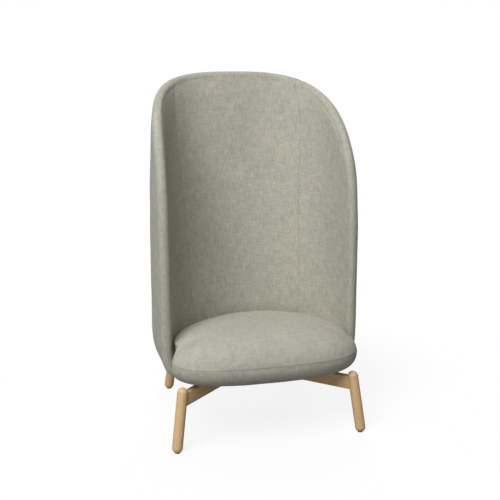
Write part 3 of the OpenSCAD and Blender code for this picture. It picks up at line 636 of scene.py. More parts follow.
class Wall:
    """One face of the wall with its half of the rim: points, normals, map places and faces."""

    def __init__(self, inside, grid, rows, turns):
        self.inside, self.grid, self.rows = inside, grid, rows
        self.wide, self.high = grid.shape
        self.half = len(turns)
        self.edge = np.array([(0, j) for j in range(self.high)]
                             + [(i, self.high - 1) for i in range(1, self.wide)]
                             + [(self.wide - 1, j) for j in range(self.high - 2, -1, -1)])
        face = (inner_point if inside else outer_point)(grid, np.broadcast_to(rows, grid.shape))
        rim = self.rim_points(turns if inside else 180 - turns)
        self.points = np.concatenate([face.reshape(-1, 3), rim.reshape(-1, 3)])
        self.seam_gap = np.full(len(self.points), FAR)
        self.rim_gap = self.seam_gap.copy()
        self.rim_gap[self.wide * self.high:] = np.tile(RIM_R * np.radians(90 - turns), len(rim))
        up, across = path_length(face, 1), path_length(face, 0)
        self.easing = self.eased_corner(up, across, turns)
        self.uv = self.map_places(up, across, turns)
        self.faces = self.panel(0, self.wide - 1)
        self.normals = point_normals(self.points, self.faces)

    def rim_points(self, turns):
        """Points round the rim, at turns from the inner face, for each point of the edge."""
        col, row = self.edge.T
        inner, outer = (f(self.grid[col, row], self.rows[row]) for f in (inner_point, outer_point))
        across, middle = outer - inner, (inner + outer) / 2
        run = np.concatenate([middle[1:2] - middle[:1], middle[2:] - middle[:-2],
                              middle[-1:] - middle[-2:-1]])
        run[self.rows[row] <= BOWL_W, :2] = 0
        ahead = unit(np.cross(run, across))
        r = np.linalg.norm(across, axis=-1) / 2
        return (middle[:, None] - unit(across)[:, None] * r[:, None, None] * cosd(turns)[:, None]
                + ahead[:, None] * np.minimum(r, RIM_R)[:, None, None] * sind(turns)[:, None])

    def eased_corner(self, up, across, turns):
        """How far the padding falls back where the inside turns over into the rim."""
        if not self.inside:
            return np.zeros(len(self.points))
        gaps = up[:, -1:] - up, across, across[-1:] - across
        gap = sum(np.maximum(g, 0.01) ** -2 for g in gaps) ** -0.5
        fall = np.maximum(1 - gap / EDGE_EASE_W, 0) ** 2
        t = turns / 90
        slope = math.pi * RIM_R / EDGE_EASE_W
        roll = 2 * t**3 - 3 * t**2 + 1 + slope * (t**3 - 2 * t**2 + t)
        return EDGE_EASE * np.concatenate([fall.ravel(), np.tile(roll, len(self.edge))])

    def rim_id(self, k, m):
        col, row = self.edge[k].T
        return np.where(m == 0, col * self.high + row,
                        self.wide * self.high + k * self.half + m - 1)

    def panel(self, first, last):
        """Faces from one column to another, with their part of the rim."""
        face = quads_of(self.wide, self.high)
        column = face[:, 0] // self.high
        face = face[(column >= first) & (column < last)]
        k_first = 0 if first == 0 else self.high - 1 + first
        k_last = len(self.edge) - 1 if last == self.wide - 1 else self.high - 1 + last
        k, m = np.meshgrid(np.arange(k_first, k_last), np.arange(self.half), indexing="ij")
        k, m = k.ravel(), m.ravel()
        strip = np.stack([self.rim_id(k, m), self.rim_id(k, m + 1),
                          self.rim_id(k + 1, m + 1), self.rim_id(k + 1, m)], -1)
        faces = np.concatenate([face, strip[:, ::-1]])
        return faces if self.inside else faces[:, ::-1]

    def map_places(self, up, across, turns):
        """Map places in millimetres along the cloth, up and across."""
        flat = np.stack([across - across[self.wide // 2], up], -1)
        col, row = self.edge.T
        edge = flat[col, row]
        run = np.gradient(edge, axis=0)
        for _ in range(SMOOTHINGS):
            run[1:-1] = (run[:-2] + 2 * run[1:-1] + run[2:]) / 4
        run = unit(run)
        aside = np.stack([-run[:, 1], run[:, 0]], -1)
        out = RIM_R * np.radians(turns)
        rim = edge[:, None] + aside[:, None] * out[None, :, None]
        return np.concatenate([flat.reshape(-1, 2), rim.reshape(-1, 2)])

    def near_column(self, number, rate):
        """Notes how far each point is from the seam that runs up one column."""
        gap = np.abs(self.grid - self.grid[number]) * rate
        col, row = self.edge.T
        along = np.repeat(np.where(row == self.high - 1, gap[col, -1], FAR), self.half)
        self.seam_gap = np.minimum(self.seam_gap, np.concatenate([gap.ravel(), along]))

    def sunk(self, seam, depth=0.0):
        """The points, drawn in along the seams and by a depth."""
        total = (depth + self.easing + seam_depth(self.seam_gap, seam)
                 + seam_roll(self.rim_gap, seam.rim_radius))
        return self.points + self.normals * (swayed(self.points) * self.loose() - total)[:, None]

    def loose(self):
        """1 in the open face, 0 at the seams and the foot."""
        rows = np.concatenate([np.broadcast_to(self.rows, self.grid.shape).ravel(),
                               np.ones(len(self.points) - self.wide * self.high)])
        return (ease(self.seam_gap / WALL_LOOSE) * ease(self.rim_gap / WALL_LOOSE)
                * ease(rows / FOOT_LOOSE_W))


def inner_wall(seam):
    rows = wall_rows()
    grid, left, right = panel_columns(rows, seam)
    wall = Wall(True, grid, rows, rim_turns(seam))
    for number in (left, right):
        wall.near_column(number, column_rate(seam_share(rows), rows))
    return wall, left, right


def outer_wall(seam):
    rows = wall_rows()
    columns = np.linspace(-1, 1, OUTER_COLUMNS)[:, None]
    return Wall(False, np.repeat(columns, len(rows), axis=1), rows, rim_turns(seam))


class LOUNGE_OT_inner_covers(bpy.types.Operator):
    """Sews the back panel and the two wing panels"""

    bl_idname = "lounge.inner_covers"
    bl_label = "Inner covers"

    def execute(self, context):
        seam, cloth = context.scene.lounge_seam, context.scene.lounge_cloth
        wall, left, right = inner_wall(seam)
        shown = wall.sunk(seam)
        for name, node, first, last in (
                ("left_wing_panel", "inner_cover_left", 0, left),
                ("back_panel", "inner_cover_back", left, right),
                ("right_wing_panel", "inner_cover_right", right, wall.wide - 1)):
            skin = closed_skin(shown, wall.normals, wall.panel(first, last), wall.uv,
                               cloth.thickness / MM)
            piece = mesh_object(name, *skin, shell_wool(cloth))
            finish_piece(piece, "wool_blend", node)
        return {"FINISHED"}


class LOUNGE_OT_outer_cover(bpy.types.Operator):
    """Pulls the outer cover over the shell and turns its hem under the body"""

    bl_idname = "lounge.outer_cover"
    bl_label = "Outer cover"

    def execute(self, context):
        seam, cloth = context.scene.lounge_seam, context.scene.lounge_cloth
        wall = outer_wall(seam)
        shown = wall.sunk(seam)
        bearing = wall.grid[:, 0] * FOOT_OUT_BEARING
        foot = board_r(bearing) + FOOT_OVERHANG
        drawn_in = np.linspace(FOOT_OVERHANG + OUTER_HEM_W, 0, HEM_ROWS + 1)[:-1]
        hem = along_bearing(bearing[:, None], foot[:, None] - drawn_in, TUB_Y, BODY_Z)
        count = len(shown)
        ids = np.concatenate([count + np.arange(hem.size // 3).reshape(hem.shape[:2]),
                              np.arange(wall.wide)[:, None] * wall.high], axis=1)
        faces = ids.ravel()[quads_of(wall.wide, HEM_ROWS + 1)]
        base = wall.uv[np.arange(wall.wide) * wall.high]
        hem_uv = base[:, None] - np.stack([0 * drawn_in, drawn_in], -1)
        points = np.concatenate([shown, hem.reshape(-1, 3)])
        faces = np.concatenate([wall.faces, faces[:, ::-1]])
        normals = point_normals(points, faces)
        normals[count:] = (0, 0, -1)
        skin = closed_skin(points, normals, faces, np.concatenate([wall.uv, hem_uv.reshape(-1, 2)]),
                           cloth.thickness / MM)
        piece = mesh_object("outer_shell_cover", *skin, shell_wool(cloth))
        finish_piece(piece, "wool_blend", "outer_cover")
        return {"FINISHED"}


class LOUNGE_OT_shell_core(bpy.types.Operator):
    """Moulds the foam of the shell behind its covers"""

    bl_idname = "lounge.shell_core"
    bl_label = "Shell core"

    def execute(self, context):
        seam = context.scene.lounge_seam
        depth = context.scene.lounge_cloth.thickness / MM + COVER_GAP
        wall = inner_wall(seam)[0]
        outer = Wall(False, wall.grid, wall.rows, rim_turns(seam)[:-1])
        points = np.concatenate([wall.sunk(seam, depth), outer.sunk(seam, depth)])
        shift = len(wall.points)
        k = np.arange(len(wall.edge))
        middle_in, middle_out = wall.rim_id(k, wall.half), outer.rim_id(k, outer.half) + shift
        bridge = np.stack([middle_in[:-1], middle_in[1:], middle_out[1:], middle_out[:-1]], -1)
        foot = np.arange(wall.wide) * wall.high
        sole = np.stack([foot[:-1], foot[1:], foot[1:] + shift, foot[:-1] + shift], -1)
        points[foot, 2] = points[foot + shift, 2] = BODY_Z + depth
        faces = np.concatenate([wall.faces, outer.faces + shift, bridge[:, ::-1], sole[:, ::-1],
                                self.end_faces(wall, outer, shift)])
        piece = mesh_object("shell_core", points, faces, None, foam())
        turned_out(piece)
        finish_piece(piece, "foam", "shell_foam")
        return {"FINISHED"}

    def end_faces(self, wall, outer, shift):
        """Faces that close the two ends of the rim at the foot."""
        faces = []
        for end in (0, len(wall.edge) - 1):
            loop = ([wall.rim_id(end, np.array(m)) for m in range(wall.half + 1)]
                    + [outer.rim_id(end, np.array(m)) + shift for m in range(outer.half, -1, -1)])
            for n in range(1, len(loop) - 1):
                tri = [int(loop[0]), int(loop[n]), int(loop[n + 1])]
                faces.append([*tri, tri[2]] if end == 0 else [tri[0], tri[2], tri[1], tri[1]])
        return np.array(faces)


def turned_out(piece):
    """Turns every face of a closed piece outwards."""
    made = bmesh.new()
    made.from_mesh(piece.data)
    bmesh.ops.recalc_face_normals(made, faces=made.faces)
    made.to_mesh(piece.data)
    made.free()


# Seat

def flank_r(bearing, turn):
    z = BODY_Z + BOWL_H * (1 - cosd(turn))
    return tub_r(bearing, z) * foot_share(z), z


def front_share(bearing):
    """0 where the shell stands beside the cushion, 1 at its open front."""
    return ease((np.abs(bearing) - FRONT_FROM) / (FRONT_TO - FRONT_FROM))


def flank_point(bearing, turn):
    """Radius and height of the cushion's side; the turn runs from 0 at its foot to 90 at its seam."""
    r, z = flank_r(bearing, np.minimum(turn, LOW_TURN))
    r_low, z_low = flank_r(bearing, np.full_like(turn, LOW_TURN))
    r_bowl, z_bowl = flank_r(bearing, np.full_like(turn, 90.0))
    part = (TUCK_H - z_low) / (z_bowl - z_low)
    past = within((turn - LOW_TURN) / (90 - LOW_TURN))
    r = mix(r, mix(r_low, r_bowl, part), past)
    z = mix(z, TUCK_H, past)
    begun = within(turn / CLEAR_TURN)
    rear_r = r - SEAT_CLEAR * np.maximum(sind(turn), 1 - begun)
    rear_z = z + SEAT_CLEAR * cosd(turn) * begun * (1 - past)
    nose_r = plan_r(bearing, SEAT_W / 2, SEAT_NOSE_D, SEAT_NOSE_D, SEAT_POWER)
    front_r = mix(board_r(bearing) + FOOT_OVERHANG, nose_r, full_share(1 - cosd(turn), BELLY_FULL))
    front_z = mix(BODY_Z, SEAM_H, 1 - cosd(turn))
    share = front_share(bearing) ** mix(FRONT_LAG_POWER, 1, (turn / 90) ** FRONT_LAG_FADE)
    return mix(rear_r, front_r, share), mix(rear_z, front_z, share)


def band_point(bearing, turn):
    r, z = flank_point(bearing, turn)
    return along_bearing(bearing, r, TUB_Y, z)


def crown_point(bearing, turn):
    """A point of the cushion's top; the turn runs from 0 at its seam to 90 at its middle."""
    r, z = flank_point(bearing, np.full_like(turn, 90.0))
    q = cosd(turn)
    rise = np.maximum(0, 1 - q**CROWN_POWER) ** (1 / CROWN_FULL)
    return along_bearing(bearing, r * q, TUB_Y, z + (SEAT_H - z) * rise)


SEAT_BEARINGS = np.linspace(-180, 180, SEAT_COLUMNS + 1)[:-1]


def turn_steps(point, start, way, steps):
    """Turns at the rows of a seam, bearing by bearing."""
    at = np.full_like(SEAT_BEARINGS, start)
    run = point(SEAT_BEARINGS, at + way * PROBE_TURN) - point(SEAT_BEARINGS, at)
    rate = np.linalg.norm(run, axis=-1) / PROBE_TURN
    return start + way * steps[None, :] / rate[:, None]


def seat_grids(seam):
    """Turns of the rows of the band and of the top."""
    steps = seam_steps(seam.radius)
    near = turn_steps(band_point, 90.0, -1, steps)[:, ::-1]
    below = np.linspace(np.zeros(len(near)), near[:, 0], BAND_ROWS).T[:, :-1]
    band = np.concatenate([below, near], axis=1)
    near = turn_steps(crown_point, 0.0, 1, steps)
    share = np.linspace(0, 1, CROWN_ROWS)[1:] ** CROWN_ROW_POWER
    crown = np.concatenate([near, near[:, -1:] + (CROWN_LAST_TURN - near[:, -1:]) * share], axis=1)
    return band, crown


def cushion_free():
    """How free each bearing of the cushion's side is from the shell beside it."""
    return ease((np.abs(SEAT_BEARINGS) - FREE_FROM_BEARING) / FREE_SPREAD)


def seat_gap(point, turns, seam_column):
    """Distance along the cloth from the seam."""
    p = point(SEAT_BEARINGS[:, None] * np.ones_like(turns), turns)
    run = path_length(p, 1)
    return p, np.abs(run - run[:, [seam_column]])


class Seat:
    """The cushion's band and top as grids of points on the same bearings."""

    def __init__(self, seam):
        band, crown = seat_grids(seam)
        self.band, self.band_gap = seat_gap(band_point, band, -1)
        self.crown, self.crown_gap = seat_gap(crown_point, crown, 0)
        self.count = len(SEAT_BEARINGS)
        self.pole = np.array([[0, TUB_Y, SEAT_H]])

    def body(self, every=1):
        """The closed cushion without its seams: points and faces."""
        sides = np.concatenate([self.band[::every], self.crown[::every, 1:]], axis=1)
        wide, high = sides.shape[:2]
        points = np.concatenate([sides.reshape(-1, 3), self.pole, [[0, TUB_Y, BODY_Z]]])
        foot = np.arange(wide) * high
        top = fan(foot + high - 1, wide * high)
        sole = fan(foot, wide * high + 1)[:, [1, 0, 2, 3]]
        return points, np.concatenate([quads_of(wide, high, closed=True), top, sole])[:, ::-1]


def settled(seat, cushion):
    """How the filling moves the covers: places and moves, from a cloth simulation."""
    points, faces = seat.body()
    body = mesh_object("cushion_body", points, faces, None, bpy.data.materials.new("cushion_body"))
    context = bpy.context
    for other in context.selected_objects:
        other.select_set(False)
    context.view_layer.objects.active = body
    body.select_set(True)
    remesh = body.modifiers.new("remesh", "REMESH")
    remesh.mode = "VOXEL"
    remesh.voxel_size = VOXEL * MM
    bpy.ops.object.modifier_apply(modifier=remesh.name)
    count = len(body.data.vertices)
    rest = np.zeros(count * 3)
    body.data.vertices.foreach_get("co", rest)
    rest = rest.reshape(-1, 3)
    seam_tree = tree_of(seat.crown[:, 0] * MM)
    group = body.vertex_groups.new(name="held")
    bearing = np.abs(np.degrees(np.arctan2(rest[:, 0], rest[:, 1] - TUB_Y * MM)))
    for n, p in enumerate(rest):
        near_seam = seam_tree.find(p)[2] < HELD_BY_SEAM * MM
        beside_shell = bearing[n] < HELD_BEARING and p[2] < TUCK_H * MM
        if near_seam or beside_shell or p[2] < (BODY_Z + HELD_FOOT) * MM:
            group.add([n], 1.0, "REPLACE")
    cloth = body.modifiers.new("cloth", "CLOTH")
    cloth.settings.vertex_group_mass = group.name
    cloth.settings.use_pressure = True
    cloth.settings.uniform_pressure_force = cushion.pressure
    cloth.settings.effector_weights.gravity = 0
    cloth.settings.quality = CLOTH_STEPS
    cloth.settings.tension_stiffness = cloth.settings.compression_stiffness = CLOTH_TENSION
    cloth.settings.bending_stiffness = CLOTH_BENDING
    cloth.point_cache.frame_end = cushion.frames
    for number in range(1, cushion.frames + 1):
        context.scene.frame_set(number)
    shaped = body.evaluated_get(context.evaluated_depsgraph_get())
    moved = np.zeros(count * 3)
    shaped.to_mesh().vertices.foreach_get("co", moved)
    moves = moved.reshape(-1, 3) - rest
    shaped.to_mesh_clear()
    context.scene.frame_set(1)
    bpy.data.objects.remove(body)
    return rest / MM, moves / MM


def carried(points, rest, moves):
    """Moves at points, taken from the nearest places of a simulated mesh."""
    tree = tree_of(rest)
    result = np.zeros_like(points)
    for n, p in enumerate(points):
        found = tree.find_n(p, NEIGHBOURS)
        weights = [1 / (f[2] + NEIGHBOUR_REACH) ** 2 for f in found]
        total = sum(weights)
        result[n] = sum(np.array(moves[f[1]]) * w for f, w in zip(found, weights)) / total
    return result


class LOUNGE_OT_seat(bpy.types.Operator):
    """Fills the seat cushion and sews its top to its band"""

    bl_idname = "lounge.seat"
    bl_label = "Seat cushion"

    def execute(self, context):
        scene = context.scene
        seam, cloth, cushion = scene.lounge_seam, scene.lounge_cloth, scene.lounge_cushion
        seat = Seat(seam)
        band, crown = self.filled(seat, seam, cushion)
        self.sew_top(crown, cloth)
        self.sew_band(band, cloth)
        self.cut_core(band, crown, seat, cloth)
        return {"FINISHED"}

    def filled(self, seat, seam, cushion):
        """The grids of the band and the top, moved by the filling and drawn in at the seams."""
        points, faces = seat.body()
        if volume(points, faces) < 0:
            raise RuntimeError("the cushion is inside out")
        normals = point_normals(points, faces)
        swell = np.zeros(len(points))
        rest, moves = settled(seat, cushion)
        swell = (carried(points, rest, moves) * normals).sum(-1)
        bands = seat.band.shape[1]
        high = bands + seat.crown.shape[1] - 1
        limit = cushion.swell / MM
        swell = np.clip(swell[:seat.count * high], -limit, limit).reshape(seat.count, high)
        normals = normals[:seat.count * high].reshape(seat.count, high, 3)
        free = cushion_free()[:, None]
        loose = ease(seat.band_gap / BAND_LOOSE)
        sway = swayed(seat.band) * ease(seat.band_gap / BAND_SWAY_LOOSE)
        out = free * (swell[:, :bands] * loose + sway - seam_depth(seat.band_gap, seam))
        band = seat.band + normals[:, :bands] * out[..., None]
        loose = ease(seat.crown_gap / CROWN_LOOSE)
        sway = swayed(seat.crown) - SEAT_SAG_SHARE * limit
        out = ((swell[:, bands - 1:] + sway) * loose + pucker(seat.crown, seat.crown_gap)
               - seam_depth(seat.crown_gap, seam))
        crown = seat.crown + normals[:, bands - 1:] * out[..., None]
        return band, crown

    def sew_top(self, crown, cloth):
        wide, high = crown.shape[:2]
        middle = crown[:, -1].mean(axis=0, keepdims=True)
        points = np.concatenate([crown.reshape(-1, 3), middle])
        cap = fan(np.arange(wide) * high + high - 1, wide * high)
        faces = np.concatenate([quads_of(wide, high, closed=True), cap])[:, ::-1]
        run = path_length(crown[:, ::-1], 1)[:, ::-1]
        uv = np.stack([run * sind(SEAT_BEARINGS)[:, None], run * cosd(SEAT_BEARINGS)[:, None]], -1)
        uv = np.concatenate([uv.reshape(-1, 2), [[0, 0]]])
        skin = closed_skin(points, point_normals(points, faces), faces, uv, cloth.thickness / MM)
        # The top's tone of 0.925 is painted light: the same cloth as the shell's 0.885, made lighter
        # because the top faces the light.
        piece = mesh_object("seat_top_cover", *skin, wool(cloth, "wool_blend_seat", 0.925, 0.70))
        finish_piece(piece, "wool_blend", "seat_cover_top")

    def sew_band(self, band, cloth):
        foot = np.linalg.norm(band[:, 0, :2] - (0, TUB_Y), axis=-1)
        hem_w = BAND_HEM_REAR_W + front_share(SEAT_BEARINGS) * (FOOT_OVERHANG + BAND_HEM_W)
        drawn_in = np.linspace(1, 0, HEM_ROWS + 1)[:-1] * hem_w[:, None]
        hem = along_bearing(SEAT_BEARINGS[:, None], foot[:, None] - drawn_in, TUB_Y, BODY_Z)
        band = np.concatenate([hem, band], axis=1)
        wide, high = band.shape[:2]
        up = path_length(band, 1)
        up -= up[:, -1:]
        round_seam = path_length(band[:, -1], 0)
        uv = np.stack([np.broadcast_to(round_seam[:, None], up.shape), up], -1).reshape(-1, 2)
        points = band.reshape(-1, 3)
        faces = quads_of(wide, high, closed=True)[:, ::-1]
        skin = closed_skin(points, point_normals(points, faces), faces, uv, cloth.thickness / MM)
        # The band's tone of 0.86 is painted shade: the same cloth as the shell's 0.885, made darker
        # because the band faces down.
        piece = mesh_object("seat_band_cover", *skin, wool(cloth, "wool_blend_band", 0.86, 0.85))
        finish_piece(piece, "wool_blend", "seat_cover_band")

    def cut_core(self, band, crown, seat, cloth):
        seat.band, seat.crown = band, crown
        seat.pole = crown[:, -1].mean(axis=0, keepdims=True)
        points, faces = seat.body(every=2)
        points = points - point_normals(points, faces) * (cloth.thickness / MM + COVER_GAP)
        points[:, 2] = np.maximum(points[:, 2], BODY_Z + cloth.thickness / MM + COVER_GAP)
        piece = mesh_object("seat_core", points, faces, None, foam())
        finish_piece(piece, "foam", "seat_foam")


def pucker(points, gap):
    """Short creases where the top is drawn down between the cushion and the wings."""
    bearing = np.degrees(np.arctan2(points[..., 0], points[..., 1] - TUB_Y))
    beside = np.exp(-(((np.abs(bearing) - PUCKER_BEARING) / PUCKER_SPREAD) ** 2))
    away = np.exp(-(((gap - PUCKER_GAP) / PUCKER_REACH) ** 2))
    wave = np.sin(np.radians(bearing * 16)) * 0.6 + np.sin(np.radians(bearing * 29 + 40)) * 0.4
    return -PUCKER_DEPTH * beside * away * (wave * 0.5 + 0.5)


# Finishes

class Value:
    """What a node's socket gives, whose sums are more nodes."""

    def __init__(self, graph, node, output=0):
        self.graph, self.node = graph, node
        self.socket = node.outputs[output] if len(node.outputs) else None

    def output(self, name):
        return Value(self.graph, self.node, name)

    def math(self, operation, *others, clamp=False):
        return self.graph.add("ShaderNodeMath", {"operation": operation, "use_clamp": clamp},
                               dict(enumerate((self, *others))))

    def __add__(self, other):
        return self.math("ADD", other)

    def __sub__(self, other):
        return self.math("SUBTRACT", other)

    def __rsub__(self, other):
        return self.graph.add("ShaderNodeMath", {"operation": "SUBTRACT"}, {0: other, 1: self})

    def __mul__(self, other):
        return self.math("MULTIPLY", other)

    def __pow__(self, other):
        return self.math("POWER", other)

    def __abs__(self):
        return self.math("ABSOLUTE")

    __radd__ = __add__
    __rmul__ = __mul__

    def sine(self):
        return self.math("SINE")

    def clamped(self):
        return self.math("ADD", 0.0, clamp=True)

    def between(self, low, high):
        """0 below the first limit, 1 above the second, eased between them."""
        return self.graph.add("ShaderNodeMapRange", {"interpolation_type": "SMOOTHSTEP"},
                               {"Value": self, "From Min": low, "From Max": high})


class Graph:
    """A tree of nodes that is being built."""

    def __init__(self, tree):
        self.tree = tree
        tree.nodes.clear()

    def add(self, kind, settings=None, inputs=None, output=0):
        node = self.tree.nodes.new(kind)
        for name, value in (settings or {}).items():
            setattr(node, name, value)
        for key, value in (inputs or {}).items():
            if isinstance(value, Value):
                self.tree.links.new(value.socket, node.inputs[key])
            else:
                node.inputs[key].default_value = value
        return Value(self, node, output)


class Finish(Graph):
    """A material made of nodes."""

    def __init__(self, name):
        self.material = bpy.data.materials.new(name)
        self.material.use_nodes = True
        super().__init__(self.material.node_tree)

    def cloth_place(self):
        """Place on the cloth in metres, along both threads."""
        return self.add("ShaderNodeUVMap", {"uv_map": WEAVE_MAP})

    def solid_place(self, middle=(0, 0, 0), turn=(0, 0, 0)):
        """Place in the solid in metres, from a middle and turned to the piece."""
        place = self.add("ShaderNodeTexCoord").output("Object")
        return self.add("ShaderNodeMapping", {"vector_type": "TEXTURE"},
                        {"Vector": place, "Location": middle, "Rotation": turn})

    def vector(self, operation, inputs, output=0):
        return self.add("ShaderNodeVectorMath", {"operation": operation}, inputs, output)

    def distance(self, place):
        return self.vector("LENGTH", {0: place}, "Value")

    def stretched(self, place, scale):
        return self.vector("MULTIPLY", {0: place, 1: scale})

    def noise(self, place, scale, detail=2.0, roughness=0.5, distortion=0.0):
        return self.add("ShaderNodeTexNoise", {}, {
            "Vector": place, "Scale": scale, "Detail": detail, "Roughness": roughness,
            "Distortion": distortion})

    def mixed(self, factor, one, other):
        ends = {0: factor, 6: colour(one), 7: colour(other)}
        return self.add("ShaderNodeMix", {"data_type": "RGBA"}, ends, 2)

    def shaded(self, tint, tone):
        """A colour made lighter or darker by a number."""
        return self.vector("SCALE", {0: tint, "Scale": tone})

    def bump(self, height, distance, strength):
        return self.add("ShaderNodeBump", {},
                        {"Strength": strength, "Distance": distance, "Height": height})

    def surface(self, **inputs):
        named = {k.replace("_", " "): v for k, v in inputs.items()}
        shader = self.add("ShaderNodeBsdfPrincipled", {}, named)
        self.add("ShaderNodeOutputMaterial", {}, {"Surface": shader})
        return self.material


def colour(value):
    return value if isinstance(value, Value) else (*tuple(value)[:3], 1.0)


def once(make):
    """Makes each kind of a finish once; what follows the first setting tells the kinds apart."""
    made = {}

    def give(*settings):
        kind = settings[1:]
        if kind not in made:
            made[kind] = make(*settings)
        return made[kind]
    return give


@once
def wool(cloth, name, light, mottle):
    """Plain-woven wool blend: mixed yarns, slubs and a soft nap, more or less mottled by panel; the
    lighter tone of the seat's top is painted light and the darker tone of its band is painted shade.
    """
    f = Finish(name)
    place = f.cloth_place()
    parts = f.add("ShaderNodeSeparateXYZ", {}, {0: place})
    across, up = parts.output("X"), parts.output("Y")
    turn = math.pi / cloth.pitch
    wobble = (f.noise(place, 160, 1) - 0.5) * (0.5 * cloth.pitch)
    side, rise = ((across + wobble) * turn).sine(), ((up + wobble) * turn).sine()
    over = (side * rise * 3.0 + 0.5).clamped()
    warp = abs(side) ** 0.7 * (abs(rise) * 0.35 + 0.65)
    weft = abs(rise) ** 0.7 * (abs(side) * 0.35 + 0.65)
    height = over * warp + (1 - over) * weft
    fine, long = 1 / cloth.slub, 1 / cloth.slub_run
    warp_slub = f.noise(f.stretched(place, (fine, long, 1)), 1.0, 2, 0.6)
    weft_slub = f.noise(f.stretched(place, (long, fine, 1)), 1.0, 2, 0.6)
    slub = warp_slub * 0.55 + weft_slub * 0.45
    patch = f.noise(f.stretched(place, (42, 20, 1)), 1.0, 3, 0.6)
    bar = f.noise(f.stretched(place, (13, 60, 1)), 1.0, 2, 0.6)
    grain = f.noise(place, 240, 2, 0.6)
    drift = f.noise(place, 6, 1)
    hue = ((patch * 1.6 + bar * 0.8 + drift * 0.7 + warp_slub * 1.1 - 2.1) * mottle + 0.5).clamped()
    tint = f.mixed(hue, cloth.cool, cloth.warm)
    # height * 0.15 is painted shade: the hollows between the threads are made darker than their tops.
    tone = (warp_slub * 0.62 + weft_slub * 0.52 + grain * 0.32 + patch * 0.17 + bar * 0.14
            + drift * 0.10 - 0.935) * mottle + height * 0.15 + light
    nap = f.noise(place, 900, 1)
    return f.surface(
        Base_Color=f.shaded(tint, tone),
        Roughness=0.86 + (nap - 0.5) * 0.12,
        Normal=f.bump(height + slub * 1.4 + nap * 0.25 + grain * 0.4, distance=0.0007, strength=0.55),
        Sheen_Weight=0.08, Sheen_Roughness=0.55, Specular_IOR_Level=0.25)


def shell_wool(cloth):
    return wool(cloth, "wool_blend", 0.885, 1.0)


@once
def foam():
    """Cream foam with open cells."""
    f = Finish("foam")
    place = f.solid_place()
    cells = f.add("ShaderNodeTexVoronoi", {}, {"Vector": place, "Scale": 650.0})
    age = f.noise(place, 9, 3)
    return f.surface(
        Base_Color=f.mixed(age, (0.80, 0.70, 0.44), (0.86, 0.78, 0.54)),
        Roughness=0.85 + (age - 0.5) * 0.1,
        Normal=f.bump(cells, distance=0.0006, strength=0.7), Specular_IOR_Level=0.2)


def wood(name, light, dark, middle, turn, ring=0.0032, pith=(0.021, 0.034, 0)):
    """Straight-grained wood whose fibres run along the turned Z axis."""
    f = Finish(name)
    place = f.solid_place(middle, turn)
    bend = f.noise(f.stretched(place, (9, 9, 1.6)), 1.0, 2)
    radius = f.distance(f.stretched(f.vector("ADD", {0: place, 1: pith}), (1, 1, 0)))
    rings = ((radius + bend * 0.011) * (2 * math.pi / ring)).sine() * 0.5 + 0.5
    late = rings ** 2.2
    fibre = f.noise(f.stretched(place, (900, 900, 22)), 1.0, 3, 0.6)
    pore = f.noise(f.stretched(place, (1500, 1500, 70)), 1.0, 1)
    pores = pore.between(0.60, 0.72) * (1 - late * 0.55)
    cloud = f.noise(f.stretched(place, (16, 16, 4)), 1.0, 2)
    body = f.mixed((late * 0.55 + (fibre - 0.5) * 0.7 + (cloud - 0.5) * 0.5).clamped(), light, dark)
    deep = f.mixed(pores * 0.55, body, [c * 0.45 for c in dark])
    return f.surface(
        Base_Color=deep,
        Roughness=0.46 + (fibre - 0.5) * 0.16 + pores * 0.2,
        Normal=f.bump(fibre * 0.5 - pores - late * 0.15, distance=0.00025, strength=0.6),
        Specular_IOR_Level=0.4)


def plywood():
    """Birch plywood: thin layers whose grain runs across and along by turns."""
    f = Finish("plywood")
    place = f.solid_place((0, 0, BOARD_Z * MM))
    layer = f.add("ShaderNodeSeparateXYZ", {}, {0: place}).output("Z") * (1 / (PLY_T * MM))
    odd = ((layer * math.pi).sine() * 6 + 0.5).clamped()
    along = f.noise(f.stretched(place, (600, 12, 90)), 1.0, 3, 0.6)
    across = f.noise(f.stretched(place, (12, 600, 90)), 1.0, 3, 0.6)
    grain = odd * along + (1 - odd) * across
    tone = (grain * 0.8 + odd * 0.35 - 0.1).clamped()
    tint = f.mixed(tone, (0.68, 0.50, 0.29), (0.50, 0.33, 0.17))
    return f.surface(Base_Color=tint, Roughness=0.62 + (grain - 0.5) * 0.2,
                     Normal=f.bump(grain, distance=0.0003, strength=0.5))


@once
def steel():
    """Black-primed steel tube with a faint orange peel and rubbed patches."""
    f = Finish("raw_steel")
    place = f.solid_place()
    peel, dirt = f.noise(place, 700, 2), f.noise(place, 24, 4, 0.6)
    worn = dirt.between(0.60, 0.72)
    return f.surface(Base_Color=f.mixed(worn, (0.045, 0.047, 0.050), (0.16, 0.155, 0.15)),
                     Metallic=worn * 0.6, Roughness=0.42 + (dirt - 0.5) * 0.3,
                     Normal=f.bump(peel, distance=0.0002, strength=0.4))


@once
def zinc():
    """Bright zinc plating with pale bloom."""
    f = Finish("zinc")
    place = f.solid_place()
    bloom, fine = f.noise(place, 90, 3), f.noise(place, 1400, 1)
    return f.surface(Base_Color=f.mixed(bloom, (0.62, 0.64, 0.66), (0.78, 0.78, 0.74)),
                     Metallic=0.92 - bloom * 0.15,
                     Roughness=0.28 + bloom * 0.18 + (fine - 0.5) * 0.1,
                     Normal=f.bump(fine, distance=0.0001, strength=0.3))


@once
def dust_cloth():
    """Black non-woven cloth with its points of heat bonding."""
    f = Finish("dust_cloth")
    place = f.solid_place()
    fibres = f.noise(f.stretched(place, (1, 3, 1)), 500, 3, 0.7, 1.5)
    parts = f.add("ShaderNodeSeparateXYZ", {}, {0: place})
    across, along = (parts.output("X") * 3000).sine(), (parts.output("Y") * 3000).sine()
    dots = (across * along).between(0.55, 0.85)
    return f.surface(Base_Color=f.mixed(fibres, (0.012, 0.012, 0.014), (0.045, 0.045, 0.050)),
                     Roughness=0.85 - dots * 0.35,
                     Normal=f.bump(fibres - dots, distance=0.0003, strength=0.6))


